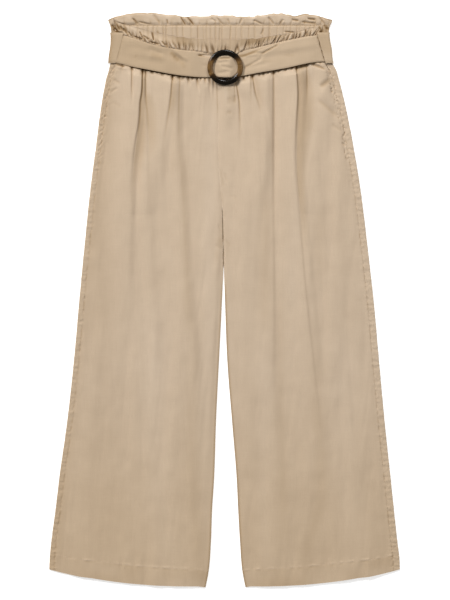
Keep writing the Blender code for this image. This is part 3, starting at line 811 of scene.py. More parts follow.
GATHERS = (
    (-163, -2, 22, 2, 0.8), (-148.3, 0, 12, 2, 1.5), (-131, -1, 18, 2.2, 1.7), (-126.5, 2, 20, 1.5, 1.1),
    (-116, 0, 9, 2.6, 1.6), (-108, 1, 8, 1.8, 0.7), (-99.5, 0, 9, 2.4, 1.4), (-90, 0, 7, 1.8, 0.7),
    (-83.6, 0, 15, 2.2, 1.6), (-73.2, 0, 12, 2.4, 1.4), (-66, -3, 14, 1.6, 0.9), (-58.5, 3, 20, 1.6, 1.5),
    (-51, -1, 9, 1.6, 1.1), (-44.4, 4, 30, 1.5, 1.6), (-38, -1, 12, 1.5, 1.2), (-31.5, 2, 16, 1.4, 1.4),
    (-24, 2, 40, 1.6, 1.3), (-17.5, 2, 44, 1.6, 1.6), (11, 1, 18, 1.8, 1), (19, 3, 20, 2.4, 1.7),
    (29.5, 3, 14, 1.9, 1.5), (36, 2, 10, 1.6, 0.9), (44, 1, 14, 2.4, 1.7), (54.6, 2, 11, 1.8, 1.1),
    (61.5, 1, 12, 2, 1.3), (69, 1, 9, 1.6, 0.8), (78, 0, 13, 2.4, 1.7), (86.5, 0, 9, 1.8, 1.1),
    (97.3, 0, 9, 1.8, 1.1), (107.3, 0, 8, 1.8, 1.1), (115, 0, 14, 2.2, 1.6), (122, 0, 11, 3.2, 1.6),
    (129, 0, 11, 3.4, 1.6), (141, 1, 9, 2, 1.2), (152.7, 2, 9, 2, 0.9),
)
WAIST_SWELL = 2.3            # how far the gathered cloth stands up where it leaves the belt


def belt_lower(across):
    """Lower edge of the belt across the front."""
    return smooth_line(BELT_EDGES[:, 0], BELT_EDGES[:, 1], across)


def front_seam(across):
    """Height of the seam between the front panels and the front waistband, under the belt."""
    middle = 835.5 + 25.5 * (np.abs(across) / WAIST_HALF) ** 1.6
    return middle - FRONT_SEAM_BELOW_BELT


FACE_COLUMNS = ("heights", "middle", "wide", "light")
BROAD_FACES = {
    # broad faces of the drape, painted lighter where they face the light and darker where they face away:
    # place across at each height, half width, and how much lighter each is
    "right": (
        ((840, 731, 635, 443, 340), (-180, -190, -200, -202, -207), 22, -7),
        ((810, 731, 650), (-75, -76, -78), 9, -6),
        ((800, 635, 443, 283, 203, 123, -60), (-190, -196, -196, -205, -202, -190, -190), 36, -5),
        ((720, 635, 539, 400), (-66, -64, -62, -56), 8, -9),
        ((500, 443, 363, 283, 203, 123, -40), (-58, -54, -48, -54, -52, -47, -38), 10, -5),
        ((830, 731, 635, 539, 443, 300), (-20, -23, -22, -25, -23, -28), 13, 7),
        ((420, 363, 203, 40), (-26, -28, -30, -32), 12, 4),
        ((500, 363, 283, 203, 123, 71, -40), (-118, -112, -114, -106, -102, -94, -88), 24, 8),
    ),
    "left": (
        ((660, 539, 443, 390), (66, 65, 64, 62), 11, -8),
        ((740, 635, 539, 420), (116, 116, 112, 106), 12, 6),
        ((510, 443, 363, 283, 203, 123, 60), (86, 88, 88, 89, 93, 94, 98), 8, -6),
        ((430, 283, 123, -40), (62, 66, 64, 76), 13, 5),
        ((430, 363, 283, 203, 123, 71, -20), (142, 146, 148, 154, 150, 134, 126), 10, -7),
        ((440, 283, 203, 123, 71, -60), (188, 192, 194, 202, 206, 212), 25, 6),
        ((620, 539, 480), (154, 152, 150), 8, -4),
    ),
}
# how far the broad faces tilt the cloth, and how much painted light and shade they put into its colour
FACE_SLOPE, FACE_PAINTED_LIGHT_AND_SHADE = 0.006, 0.0075


def broad_faces(side, across, height):
    """How much lighter each place is for the way the drape faces there, darker below 0: it sets the cloth's
    slope and its painted light and shade.
    """
    total = np.zeros_like(across)
    for face in named_rows(BROAD_FACES[side], FACE_COLUMNS):
        top, foot = face["heights"][0], face["heights"][-1]
        up = (height - foot) / (top - foot)
        fade = ease(up / 0.22) * ease((1.0 - up) / 0.22)
        total += face["light"] * fade * bell(across - line_at(face, "middle", height), face["wide"])
    return total


def slope_to_rise(slope, across):
    """Rise of the cloth from its slope across, with both ends left where they are."""
    steps = (slope[:, 1:] + slope[:, :-1]) / 2.0 * np.diff(across, axis=1)
    rise = np.concatenate([np.zeros((len(slope), 1)), np.cumsum(steps, axis=1)], axis=1)
    share = (across - across[:, :1]) / (across[:, -1:] - across[:, :1])
    return rise - rise[:, -1:] * share


PLEAT_COLUMNS = ("heights", "across", "steep", "easy", "depth")
PLEATS = {
    # heights from the top down, the line's place across at each, its steep and easy sides' widths
    "right": (
        ((836, 800, 765), (-148, -148.1, -148.8), 0.9, 3, 1.6),
        ((833, 815, 795, 776, 757, 738, 719, 699, 661, 623, 584, 540),
         (-130.5, -131.3, -131.8, -134.3, -135.3, -136.9, -140.1, -143, -146.3, -148.3, -149.7, -149.5),
         0.8, 3.4, 3.4),
        ((824, 783, 763, 744, 715, 660, 610, 571, 540),
         (-126.3, -125.7, -124.1, -122.5, -120.9, -120.5, -119.3, -114.5, -110), 1.1, 4, 1.8),
        ((826, 807, 784, 762, 739, 695, 650), (-82, -84, -86, -89, -92.2, -98, -99.5), 1.1, 4, 2.2),
        ((826, 786, 725, 674, 623, 560, 500, 420), (-70.5, -72.5, -72.8, -69.8, -66, -63.5, -59, -54),
         1.6, 6, 1.5),
        ((808, 780, 740, 690), (-12.5, -11.5, -10.5, -9.5), 1.4, 4, 1.3),
    ),
    "left": (
        ((806, 790, 772), (15.8, 16.4, 16.7), 1, 2.5, 1.2),
        ((812, 805, 783, 747, 710, 680), (16, 18.3, 22.6, 24.7, 24.7, 24), 1.1, 4, 2.8),
        ((822, 803, 787, 771, 745), (43.8, 47.1, 50.3, 55.1, 60), 1.1, 4, 2.3),
        ((822, 784, 760), (42.4, 42.2, 42), 1, 2.4, 1.1),
        ((828, 784, 747, 619, 491, 420), (78.4, 79.1, 79.6, 79.6, 81, 81), 1.3, 5, 1.3),
        ((834, 815, 795, 776, 757, 719, 670, 623, 565, 488, 411, 340),
         (114.5, 116.2, 117.6, 117.6, 116.3, 114.5, 114.3, 117.4, 122.2, 128.7, 136.5, 144), 0.9, 4, 2.2),
        ((834, 789, 755), (131.5, 131.9, 131), 1.2, 3.6, 1.5),
    ),
}
SHADED_COLUMNS = ("heights", "left", "right", "depth")
SHADED_SIDES = {
    # strips of the folds that face away from the light, from a line to where it fades out
    "right": (
        ((826, 795, 763, 725, 680, 630), (-131.5, -132.5, -135.5, -139.5, -145, -148.5),
         (-123, -122, -120, -118, -124, -132), 0.22),
        ((790, 763, 725, 680), (-126, -124.5, -121.5, -120), (-112, -104, -102, -106), 0.13),
        ((818, 790, 740), (-84.5, -86.5, -93), (-72, -72, -80), 0.17),
    ),
    "left": (
        ((808, 790, 765), (4, 5, 8), (20.5, 23, 25), 0.07),
        ((815, 790, 755), (45.5, 50.5, 59), (58, 62, 66), 0.1),
        ((832, 795, 757, 709, 660, 600, 520), (115, 118, 117, 115, 115, 120, 126),
         (140, 148, 152, 140, 134, 136, 142), 0.23),
    ),
}


def shaded_sides(side, across, height):
    """Tone of the strips that face away from the light."""
    total = np.zeros_like(across)
    for strip in named_rows(SHADED_SIDES[side], SHADED_COLUMNS):
        top, foot = strip["heights"][0], strip["heights"][-1]
        left, right = (line_at(strip, edge, height) for edge in ("left", "right"))
        down = (top - height) / (top - foot)
        fade = ease(down / 0.12 + 0.4) * ease((1.0 - down) / 0.45)
        fade_out = ease((right - across) / (0.75 * (right - left)))
        total += strip["depth"] * fade * ease((across - left) / 1.6) * fade_out
    return total


def pleat_lines(side, across, height):
    """Lines where the gathered cloth folds over: how deep they are and how near a point is to one."""
    depth, near = np.zeros_like(across), np.zeros_like(across)
    for pleat in named_rows(PLEATS[side], PLEAT_COLUMNS):
        top, foot = pleat["heights"][0], pleat["heights"][-1]
        down = np.clip((top - height) / (top - foot), 0.0, 1.0)
        fade = ease((1.0 - down) / 0.85)
        away = across - line_at(pleat, "across", height)
        opening = np.clip((top - height) / 120.0, 0.0, 1.6)
        steep, easy = pleat["steep"] * (1.0 + 1.7 * opening), pleat["easy"] * (1.0 + 0.8 * opening)
        depth += 0.85 * pleat["depth"] * fade * bell(away, np.where(away < 0.0, steep, easy))
        near = np.maximum(near, pleat["depth"] / 3.3 * fade * bell(away + 0.1, 0.80 + 0.75 * opening))
    return depth, near


def waist_gathers(across, height):
    """Short creases that spread from the waist seam, out from under the belt."""
    total = np.zeros_like(across)
    below_belt = belt_lower(across) - height
    for crease in named_rows(GATHERS, GATHER_COLUMNS):
        down = below_belt / crease["length"]
        middle = crease["across"] + crease["lean"] * down
        shape = bell(across - middle, crease["width"] * (1.0 + 0.7 * np.clip(down, 0.0, 1.0)))
        total -= 2.2 * crease["depth"] * shape * ease(1.0 - down)
    return total


def pocket_lines(side):
    """Topstitching beside the pocket opening, and a bar tack at each end of it."""
    sign, (low, high) = SIDES[side], POCKET[side]
    lines = []
    heights = np.linspace(low, high - 6.0, 60)
    outer = leg_edge(side + "_outer", heights)
    lines.append([(float(x - sign * (SEAM_INSET[side] + 5.5)), float(y)) for x, y in zip(outer, heights)])
    for middle in (low, high - 8.0):
        for step in (-1.0, 0.0, 1.0):
            edge = float(leg_edge(side + "_outer", np.array(middle)))
            lines.append([(edge - sign * (SEAM_INSET[side] + off), middle + step) for off in (0.6, 3.0, 6.5)])
    return lines


CREASE_COLUMNS = ("start_x", "start_height", "stop_x", "stop_height", "width", "depth")
PRESSED_CREASES = (
    (-174, 836.2, -160, 832.4, 1.3, 3.4), (-172, 832, -156, 828, 1.6, -0.8), (-6, 668, -2, 640, 2.2, 0.8),
    (0, 662, 4, 648, 2, 0.7), (-6.5, 630, -2, 612, 1.8, 0.9), (9, 626, 20, 622, 1.5, 0.6),
    (-4, 604, 1, 590, 1.8, 0.8), (17, 786, 16, 774, 3.2, 0.8), (7, 783, 6.5, 771, 4, 0.5),
    (4, 760, 11, 758, 3.4, 0.6), (-10, 580, -5, 566, 1.8, 0.8), (-14, 548, -4, 540, 2, 0.7),
    (2, 556, 9, 545, 2, 0.7), (-181, 816, -168, 805, 2.4, 1), (-186, 790, -172, 798, 2.4, 0.8),
    (-179, 776, -166, 768, 3, 0.6), (141.5, 835.6, 161, 828.4, 2, 2.8), (148, 838, 166, 832, 2, -1.2),
    (153, 800, 170, 813, 4.2, 1.9), (150, 779, 180, 753, 4.2, 1.3), (154, 793, 180, 768, 6.5, -1.2),
    (172, 740, 186, 730, 3, 0.8),
)


SHADE_SPOTS = (
    # spots of painted shade where the cloth is rumpled, and of painted light where the tone is below 0: place
    # across, height, half width, half height, tone
    (10.5, 780, 8, 6, 0.06), (16.5, 781, 2, 6, 0.1), (7.5, 759, 5, 3, 0.06), (6, 797, 5, 3, 0.06),
    (1.8, 786, 1.2, 11, -0.06), (137.5, 829, 2.2, 9, -0.08), (194.8, 686.6, 2.6, 1.6, 0.2),
    (-199, 679, 2.4, 2, 0.12), (133, 812, 4, 12, 0.06), (163, 805, 5, 5, 0.07), (-7.5, 553, 5, 9, 0.12),
    (-12, 530, 4, 9, 0.07), (5, 540, 3.5, 12, 0.05), (-3.5, 578, 1.8, 14, 0.07),
)


def shade_spots(across, height):
    """Painted shade and light of the rumpled spots."""
    total = np.zeros_like(across)
    for middle, up, wide, high, tone in SHADE_SPOTS:
        total += tone * np.exp(-((across - middle) / wide) ** 2 - ((height - up) / high) ** 2)
    return total


def line_creases(table, across, height):
    """Creases pressed along straight lines, placed one by one."""
    total = np.zeros_like(across)
    for crease in named_rows(table, CREASE_COLUMNS):
        start = np.array((crease["start_x"], crease["start_height"]))
        run = np.array((crease["stop_x"], crease["stop_height"])) - start
        length = math.hypot(*run)
        along = ((across - start[0]) * run[0] + (height - start[1]) * run[1]) / length ** 2
        away = ((height - start[1]) * run[0] - (across - start[0]) * run[1]) / length
        ends = ease((along + 0.15) / 0.35) * ease((1.15 - along) / 0.35)
        total -= crease["depth"] * ends * bell(away, crease["width"])
    return total


def crowded_columns(side, rows, inner, edge):
    """Columns of the grid at each row, crowded towards the side seam and the sharp pleat lines."""
    shares = np.linspace(0.0, 1.0, 700)[None, :]
    across = inner + shares * (edge - inner)
    _, near = pleat_lines(side, across + 0.0 * rows, rows + 0.0 * across)
    blurred = np.stack([np.convolve(row, np.hanning(23) / 11.0, mode="same") for row in near])
    crowd = 1.0 + 0.9 * ease((22.0 - np.abs(edge - across)) / 8.0) + 2.6 * blurred
    total = np.cumsum(crowd, axis=1)
    total = (total - total[:, :1]) / (total[:, -1:] - total[:, :1])
    picked = np.linspace(0.0, 1.0, FRONT_COLUMNS)
    placed = np.stack([np.interp(picked, row, shares[0]) for row in total])
    return inner + placed * (edge - inner)


def front_panel(side):
    """One front, from its hem to the waist seam."""
    sign = SIDES[side]
    seam_top = front_seam(WAIST_HALF)
    rows = row_heights(((60.0, 1.5), (640.0, 2.2), (780.0, 1.5), (seam_top, 1.15)))
    outer = leg_edge(side + "_outer", rows)[:, None]
    inner = (middle_edge(side, rows, FRONT_CROTCH) + crotch_slit(side, rows))[:, None]
    edge = outer - sign * (SEAM_INSET[side] + 0.05)
    across = crowded_columns(side, rows[:, None], inner, edge)
    height = hem_height(across, rows[:, None])
    squeeze = (front_seam(across) - SQUEEZE_FROM) / (seam_top - SQUEEZE_FROM)
    top_rows = SQUEEZE_FROM + (rows[:, None] - SQUEEZE_FROM) * squeeze
    height = np.where(rows[:, None] > SQUEEZE_FROM, top_rows, height)

    inset = sign * (outer - across)
    off_inner = sign * (across - inner)
    reach = inset - SEAM_INSET[side]
    off_bag = (inset - pocket_reach(height + 25.0) + 20.0) / 60.0
    lift = np.maximum(side_lift(height) * (1.0 - ease(off_bag)), waist_lift(height))
    up = LAYER + WALL + lift
    calm = ease((height - belt_lower(across) + 30.0) / 30.0)
    above_crotch = ease((height - 500.0) / 60.0)
    roll = 1.0 - np.sqrt(1.0 - np.clip(1.0 - off_inner / 3.4, 0.0, 1.0) ** 2)
    up = up - roll * (1.2 - 0.9 * above_crotch)
    puff = ease(off_inner / 34.0) * ease(reach / 44.0)
    up = up + LEG_PUFF * puff * (1.0 - calm)
    below_belt = belt_lower(across) - height
    bumps = hanging_folds(FRONT_FOLDS[side], across, height, below_belt)
    bumps = FOLD_STRENGTH * bumps * (1.0 + 0.15 * ease((height - 560.0) / 150.0))
    gathers = waist_gathers(across, height)
    pleats, near_pleat = pleat_lines(side, across, height)
    pressed = line_creases(PRESSED_CREASES, across, height)
    bumps = bumps + gathers - pleats + pressed
    off_ring = ease((np.abs(across - 1.0) - 26.0) / 12.0)
    leaving = ease((below_belt + 5.0 * off_ring) / 10.0)
    bumps = bumps + WAIST_SWELL * leaving * bell(np.maximum(0.0, below_belt - 5.0), 18.0)
    bent = height + 150.0 * soft_noise(across, height, 26, 24.0, 320.0)
    for rise, lean, along, seed, cell_across, cell_along in (
            (0.95, 0.05, bent, 21, 18.0, 150.0), (0.28, -0.06, bent, 22, 8.0, 48.0),
            (0.30, 0.0, height, 24, 13.0, 17.0), (0.90, -0.05, height, 28, 22.0, 170.0)):
        uneven = soft_noise(across + lean * height, along, seed, cell_across, cell_along)
        bumps = bumps + rise * uneven * (1.0 - calm)
    faces = broad_faces(side, across, height)
    bumps = bumps + slope_to_rise(FACE_SLOPE * faces, across)
    up = up + bumps * ease(reach / 9.0) * ease(off_inner / 8.0 + 0.25 * above_crotch)
    pucker = seam_pucker(side, height, reach) * (1.0 - 0.6 * calm)
    up = up + pucker - seam_groove(height, reach)

    above_hem = height - hem_height(across, 0.0)
    stitch = hem_stitch(off_inner / LEG_WIDTH)
    broken = 0.55 + 0.80 * noise_across(across, 25, 6.0, 10.0)
    up = up + 0.45 * broken * bell(above_hem - stitch, 1.5)
    up = up - 0.22 * broken * bell(above_hem - stitch + 2.6, 1.5)
    tug = soft_noise(across, above_hem, 23, 5.0, 60.0) * bell(above_hem - stitch, 9.0)
    up = up + 0.70 * tug + 0.30 * ease((stitch - above_hem) / 2.0)
    floor_up = WALL + 0.35 + 1.35 * waist_lift(height) / LAYER
    clear = up - floor_up
    points = np.stack([across, height, floor_up + 0.5 * (clear + np.sqrt(clear ** 2 + 1.4))], axis=2)

    # Painted shade baked into the colour: shade in the gathers' notches, and a painted shadow under the
    # belt's lower edge, strongest away from the sides.
    held_down = ease((158.0 - np.abs(across)) / 22.0)
    shade = 0.75 * np.clip(-gathers / 3.4, 0.0, 1.0) ** 1.3 * ease(1.0 - below_belt / 18.0)
    shade = np.maximum(shade, (0.54 + 0.42 * held_down) * bell(below_belt - 0.2, 1.35))
    # Painted shade along the pleat lines, on the fold sides turned from the light, in the pressed creases, in
    # the seam and its pits, beside the outline and in the rumpled spots.
    shade = shade + 0.66 * near_pleat * (0.14 + 0.86 * ease((height - 700.0) / 110.0))
    shade = shade + shaded_sides(side, across, height) * ease(below_belt / 4.0)
    shade = shade + 0.35 * np.clip(-pressed / 2.6, 0.0, 1.0) ** 1.5
    shade = shade + seam_shade(height, reach) + 0.10 * np.clip(-pucker - 0.4, 0.0, 2.0)
    shade = shade + side_painted_shade(side, height, reach)
    shade = shade + shade_spots(across, height)
    # Painted shade along the middle seam above the crotch and down the legs, and painted light and shade on
    # the broad faces.
    seam_line = 0.03 + 0.06 * noise_along(height, 27, 9.0, 16.0)
    shade = shade + seam_line * bell(off_inner, 1.4) * above_crotch
    shade = shade + leg_painted_shade(height) - FACE_PAINTED_LIGHT_AND_SHADE * faces
    patches = 0.035 + 0.055 * soft_noise(across, above_hem, 29, 30.0, 20.0) + 0.05 * bell(across - 85.0, 26.0)
    shade = shade + patches * ease((stitch - above_hem) / 3.0)
    # Painted shade just under the hem's stitching, and a painted highlight along it.
    shade = shade + 0.05 * broken * bell(above_hem - stitch + 2.6, 1.6)
    shade = shade - 0.09 * broken * bell(above_hem - stitch, 1.3)
    # Painted shade at the leg's inner edge, where the cloth turns away from the light.
    inner_edge_painted_shade = 0.34 if side == "right" else 0.42
    shade = shade + inner_edge_painted_shade * bell(off_inner, 2.4) * ease((500.0 - height) / 40.0)
    if side == "right":
        points, shade = points[:, ::-1], shade[:, ::-1]
    return cloth_sheet(side + "_front_leg", points, SHELL, CLOTH, shade=np.minimum(shade, 0.95), under_step=3)


for side in SIDES:
    leg = front_panel(side)
    seams = sew(side + "_front_stitches", leg, [hem_line(side)] + pocket_lines(side))
    declare_sheet(leg, "front_" + side)


# ---------------------------------------------------------------------------------------------
# Back waistband: an elastic casing, its inner face showing, with a stitched line and a soft
# frill standing above it. It wraps round to the front at both sides.
# ---------------------------------------------------------------------------------------------
FRILL_STITCH = 898.6         # height of the stitched line between the casing and the frill
FRILL_HIGH, FRILL_MIDDLE = 16.0, 908.0   # usual height of the frill, and where its middle row lies
CASING_SHARE, FRILL_SHARE = 0.66, 0.34   # of the waistband's rows, in the casing and in the frill
BAND_TOP = 3.9               # how high the waistband lies at the front
FRILL_TOP = np.array((
    (-190, 906), (-183, 908.5), (-164, 915), (-130, 919), (-106, 917.3), (-68, 913.3), (0, 914.6),
    (37, 912.5), (66, 915.4), (95, 917.3), (114, 913.8), (124, 916), (153, 912.3), (171, 908), (180, 906),
))
FRONT_FRILL_MIDDLE, FRONT_FRILL_CURVE = 875.0, 31.0


def frill_top(across):
    """Height of the back frill's edge."""
    return smooth_line(FRILL_TOP[:, 0], FRILL_TOP[:, 1], across)


def front_frill(across):
    """Height of the front frill's edge."""
    wave = 0.9 * noise_across(across, 64, 5.5, 10.0)
    return FRONT_FRILL_MIDDLE + FRONT_FRILL_CURVE * (across / WAIST_HALF) ** 2 + wave


def gathered(across, along, seed, step, sharp, lean):
    """Depth of tight gathers, 0 on their crests and 1 in their creases, unevenly spaced."""
    draw = np.random.default_rng(seed)
    place, total = -200.0, np.zeros_like(across)
    while place < 200.0:
        place += step * draw.uniform(0.55, 1.5)
        width = sharp * draw.uniform(0.7, 1.4)
        slant = lean * (0.6 * draw.uniform(-1.0, 1.0) + 0.6 * min(1.0, max(-1.0, place / 100.0)))
        depth = draw.uniform(0.45, 1.0)
        bend = draw.uniform(-0.5, 0.5)
        middle = place + slant * along + bend * np.sin(along * 3.0)
        total = np.maximum(total, depth * bell(across - middle, width))
    return total


CORNER_CREASES = (
    (-180, 900, -173, 890, 1.8, 1.9), (-174, 902, -167, 891, 1.7, 2.2), (-168, 898, -160, 889, 1.8, 2),
    (-178, 892, -166, 886, 1.6, 1.8), (-163, 903, -156, 888, 1.6, 1.7), (-182, 886, -172, 885, 1.5, 1.2),
    (148, 900, 156, 889, 1.7, 1.9), (157, 903, 164, 892, 1.6, 1.8), (164, 896, 170, 887, 1.5, 1.6),
)


def corner_shade(across, height):
    """The crushed corners of the frill lie in shade, the right one more."""
    deep = np.where(across < 0.0, 0.28, 0.15)
    out = np.abs(across)
    corner = deep * np.exp(-((out - 175.0) / 12.0) ** 2 - ((height - 892.0) / 10.0) ** 2)
    far = np.where(across < 0.0, 0.20 * bell(out - 189.0, 8.0), 0.28 * bell(out - 156.0, 11.0))
    return corner + far * bell(height - 888.0, 8.0)


FRILL_CREASES = (
    (-70.5, 913, -62.5, 899.5, 1.3, 3.8), (-60, 913, -49, 899.5, 1.4, 4), (-65, 912, -56, 901, 1.5, -1.2),
    (-147, 910, -138, 901, 1.5, 1.9), (-137, 904.5, -119, 900.5, 1.3, 1.6),
    (-92, 908, -90.5, 900, 1.4, 1.6), (-22, 909, -14, 905, 1.4, 1), (-12, 911, -2, 900, 1.5, 1.3),
    (5, 909, 8.5, 900, 1.3, 1.1), (46, 907, 60, 901, 1.6, 1.5), (70, 911, 79, 901, 1.6, 1.7),
    (95, 908, 88, 902, 1.4, 0.9), (108, 908, 118, 906, 1.5, 2.4), (124, 904, 144, 902, 1.5, 2.4),
    (133.5, 909.2, 145, 907.4, 1.2, 3.4), (-176, 904, -160, 899, 1.8, 1.6),
    (-113, 915, -104, 903, 2.2, 1.2), (28, 910, 24, 901, 1.6, 1.2), (152, 911, 160, 901, 1.8, 1.6),
    (100, 897, 112, 895.5, 1.4, 1.6),
)


CASING_CREASES = (
    (96.7, 888.6, 111.5, 887.4, 1.2, 2.4), (-108, 889, -104, 884, 1.3, 1.4), (62, 893, 58.5, 884, 1.2, 1.4),
)


def casing_lines(across, height):
    """Fine upright lines of the elastic casing, 1 in their creases."""
    return gathered(across, (height - BACK_SEAM) / 40.0, 52, 8.0, 1.25, 2.6)


def both_sides(halves):
    """One grid from two that run outwards from the middle, the right one first."""
    return np.concatenate([halves[0][:, :0:-1], halves[1]], axis=1)[:, ::-1]


def waistband_back():
    """The back waistband, wrapped round to the front at both sides."""
    halves, cuts, shades = [], [], []
    levels = np.concatenate([np.linspace(0.0, 0.34, 7), np.linspace(0.34, CASING_SHARE, 31)[1:],
                             np.linspace(CASING_SHARE, 1.0, 19)[1:]])
    radius = (BAND_TOP - LAYER) / 2.0
    for side, sign in SIDES.items():
        outer = leg_edge(side + "_outer", BACK_SEAM + levels * (FRILL_MIDDLE - BACK_SEAM))
        flat_end = outer - sign * radius
        across = [share * flat_end for share in np.linspace(0.0, 1.0, 170)[:-1]]
        flat = len(across)
        up = [np.full_like(outer, LAYER)] * flat
        round_edge(across, up, flat_end, np.full_like(outer, LAYER + radius), radius, sign,
                   np.linspace(-90.0, 90.0, 9))
        for share in np.linspace(0.0, 1.0, 10)[1:]:
            across.append(flat_end - sign * share * (SEAM_INSET[side] - radius))
            up.append(np.full_like(outer, BAND_TOP))
        across, up = np.stack(across, axis=1), np.stack(up, axis=1)
        column = np.arange(across.shape[1])
        behind, in_front = column < flat, column >= flat + 5

        edge, row = frill_top(across), levels[:, None]
        in_casing = BACK_SEAM + row / CASING_SHARE * (FRILL_STITCH - BACK_SEAM)
        above_stitch = FRILL_STITCH + (row - CASING_SHARE) / FRILL_SHARE * (edge - FRILL_STITCH)
        height = np.where(row <= CASING_SHARE, in_casing, above_stitch)
        above = height - FRILL_STITCH
        in_frill = np.clip(above / FRILL_HIGH, 0.0, 1.2)
        clear = ease((height - front_frill(across) + 0.3) / 1.2)
        creases = gathered(across, above / FRILL_HIGH, 51, 11.5, 1.5, 5.0)
        fine = casing_lines(across, height)
        swell = 0.5 + 0.5 * soft_noise(across, height, 53, 15.0, 30.0)
        near_stitch = ease(in_frill / 0.12) * ease((0.75 - in_frill) / 0.6)
        roll_over = ease((height - edge + 3.5) / 3.5)
        pressed = line_creases(FRILL_CREASES, across, height)
        corners = line_creases(CORNER_CREASES, across, height)
        frill = (1.3 * swell + 1.3) * ease(in_frill / 0.35) - 1.1 * creases * near_stitch
        frill = frill - 1.5 * roll_over
        frill = frill + 1.5 * pressed
        casing = 1.25 * (1.0 - fine) * ease((FRILL_STITCH - height) / 3.0)
        bumps = np.where(height > FRILL_STITCH, np.maximum(frill, -0.6), casing) - 0.5 * bell(above, 1.2)
        side_fade = ease((np.abs(outer)[:, None] - np.abs(across) - 2.0) / 14.0) * 0.8 + 0.2
        up = up + bumps * np.where(in_front, 1.0, clear) * side_fade
        up = up + corners * in_front
        dents = line_creases(CASING_CREASES, across, height) * clear * behind
        up = np.maximum(up + dents, np.minimum(up, 1.0))

        # Painted shade baked into the colour: in the frill's creases and pressed creases, along its
        # rolled-over edge and towards its corners, along the stitched line, in the crushed corners, and on
        # the casing, which lies lower, most in its lines and dents; painted light along the front frill's
        # edge.
        shade = 0.28 * creases * near_stitch + 0.72 * np.clip(-pressed / 3.6, 0.0, 1.0)
        near_corners = ease((np.abs(across) - 88.0) / 30.0)
        uneven = 1.0 + noise_across(across, 55, 24.0, 10.0)
        shade = shade + (0.17 + 0.15 * near_corners) * roll_over * uneven
        shade = shade + 0.10 * soft_noise(across, height, 57, 9.0, 6.0) + 0.06 * near_corners
        front_edge_painted_light = bell(height - front_frill(across) - 0.4, 1.3)
        front_edge_painted_light = front_edge_painted_light * (1.0 - 0.6 * ease((np.abs(across) - 90.0) / 20.0))
        shade = np.where(height > FRILL_STITCH, shade, 0.12 + 0.20 * fine - 0.16 * front_edge_painted_light)
        shade = shade + 0.30 * bell(above, 0.9)
        shade = shade + 0.55 * np.clip(-corners / 2.2, 0.0, 1.0) * in_front
        shade = shade + 0.50 * np.clip(-dents / 2.4, 0.0, 1.0) + corner_shade(across, height) * in_front
        shades.append(shade)
        height = height + noise_across(across, 54, 6.5, 10.0) * 1.2 * ease(in_frill)
        halves.append(np.stack([across, height, up], axis=2))
        cuts.append(np.stack([sign * cloth_run(across, up), height], axis=2) * MM)
    points, cut, shade = both_sides(halves), both_sides(cuts), both_sides(shades)
    return cloth_sheet("back_waistband", points, SHELL, CLOTH, cut, shade)


band = waistband_back()
frill_line = [(float(x), FRILL_STITCH) for x in np.linspace(-178.0, 164.0, 200)]
casing_stitches = sew("back_waistband_stitches", band, [frill_line])
declare_sheet(band, "waistband_back")


# ---------------------------------------------------------------------------------------------
# Front waistband: the same casing and frill, pressed flat under the belt and bunched into tight
# ruffles where it comes out above it.
# ---------------------------------------------------------------------------------------------
UNDER_BELT_SHARE = 0.25      # of the front waistband's rows, under the belt
SEWN_END_EDGES = np.array((
    # place across and the two edges of the belt's sewn end
    (-8, 815.5, 846.5), (13, 815.5, 846.5), (24.7, 821, 855.5), (49.5, 825, 862), (96, 832, 873.5),
    (148, 841, 882.5), (172, 841.5, 884),
))


RUFFLE_CREASES = (
    (-180.4, 893.4, -176.4, 886.6, 1.2, 2.6), (-176.9, 888.2, -162.5, 885.9, 1.2, 2.6),
    (-174.2, 894, -170.5, 888.8, 1.2, 2.4), (-161.5, 893.4, -156.1, 885.4, 1.2, 2.8),
    (-153.5, 888.2, -148.1, 880.8, 1.2, 2.8), (-144.9, 880.8, -130.5, 875.7, 1.2, 2.6),
    (-135.3, 888.2, -130.5, 877.4, 1.1, 2.4), (-128.9, 881.8, -120.9, 875.7, 1.2, 2.6),
    (-116.1, 888.2, -112.9, 873.8, 1.2, 2.4), (-119.3, 872.2, -104.9, 868.3, 1.2, 2.6),
    (-100.1, 872.8, -93.7, 865.8, 1.2, 2.4), (151.1, 888.5, 165.5, 886.6, 1.3, 2.8),
    (163.9, 893.3, 166.8, 886.6, 1.2, 2.6), (129.4, 896.2, 130, 883.8, 1.2, 2.4),
    (96.7, 888.5, 110.6, 887.8, 1.2, 2.4),
)


def belt_upper(across):
    """Upper edge of whichever layer of the belt shows."""
    strap = smooth_line(BELT_EDGES[:, 0], BELT_EDGES[:, 2], across)
    sewn = smooth_line(SEWN_END_EDGES[:, 0], SEWN_END_EDGES[:, 2], across)
    return np.where(across > 13.0, np.maximum(strap, sewn), strap)


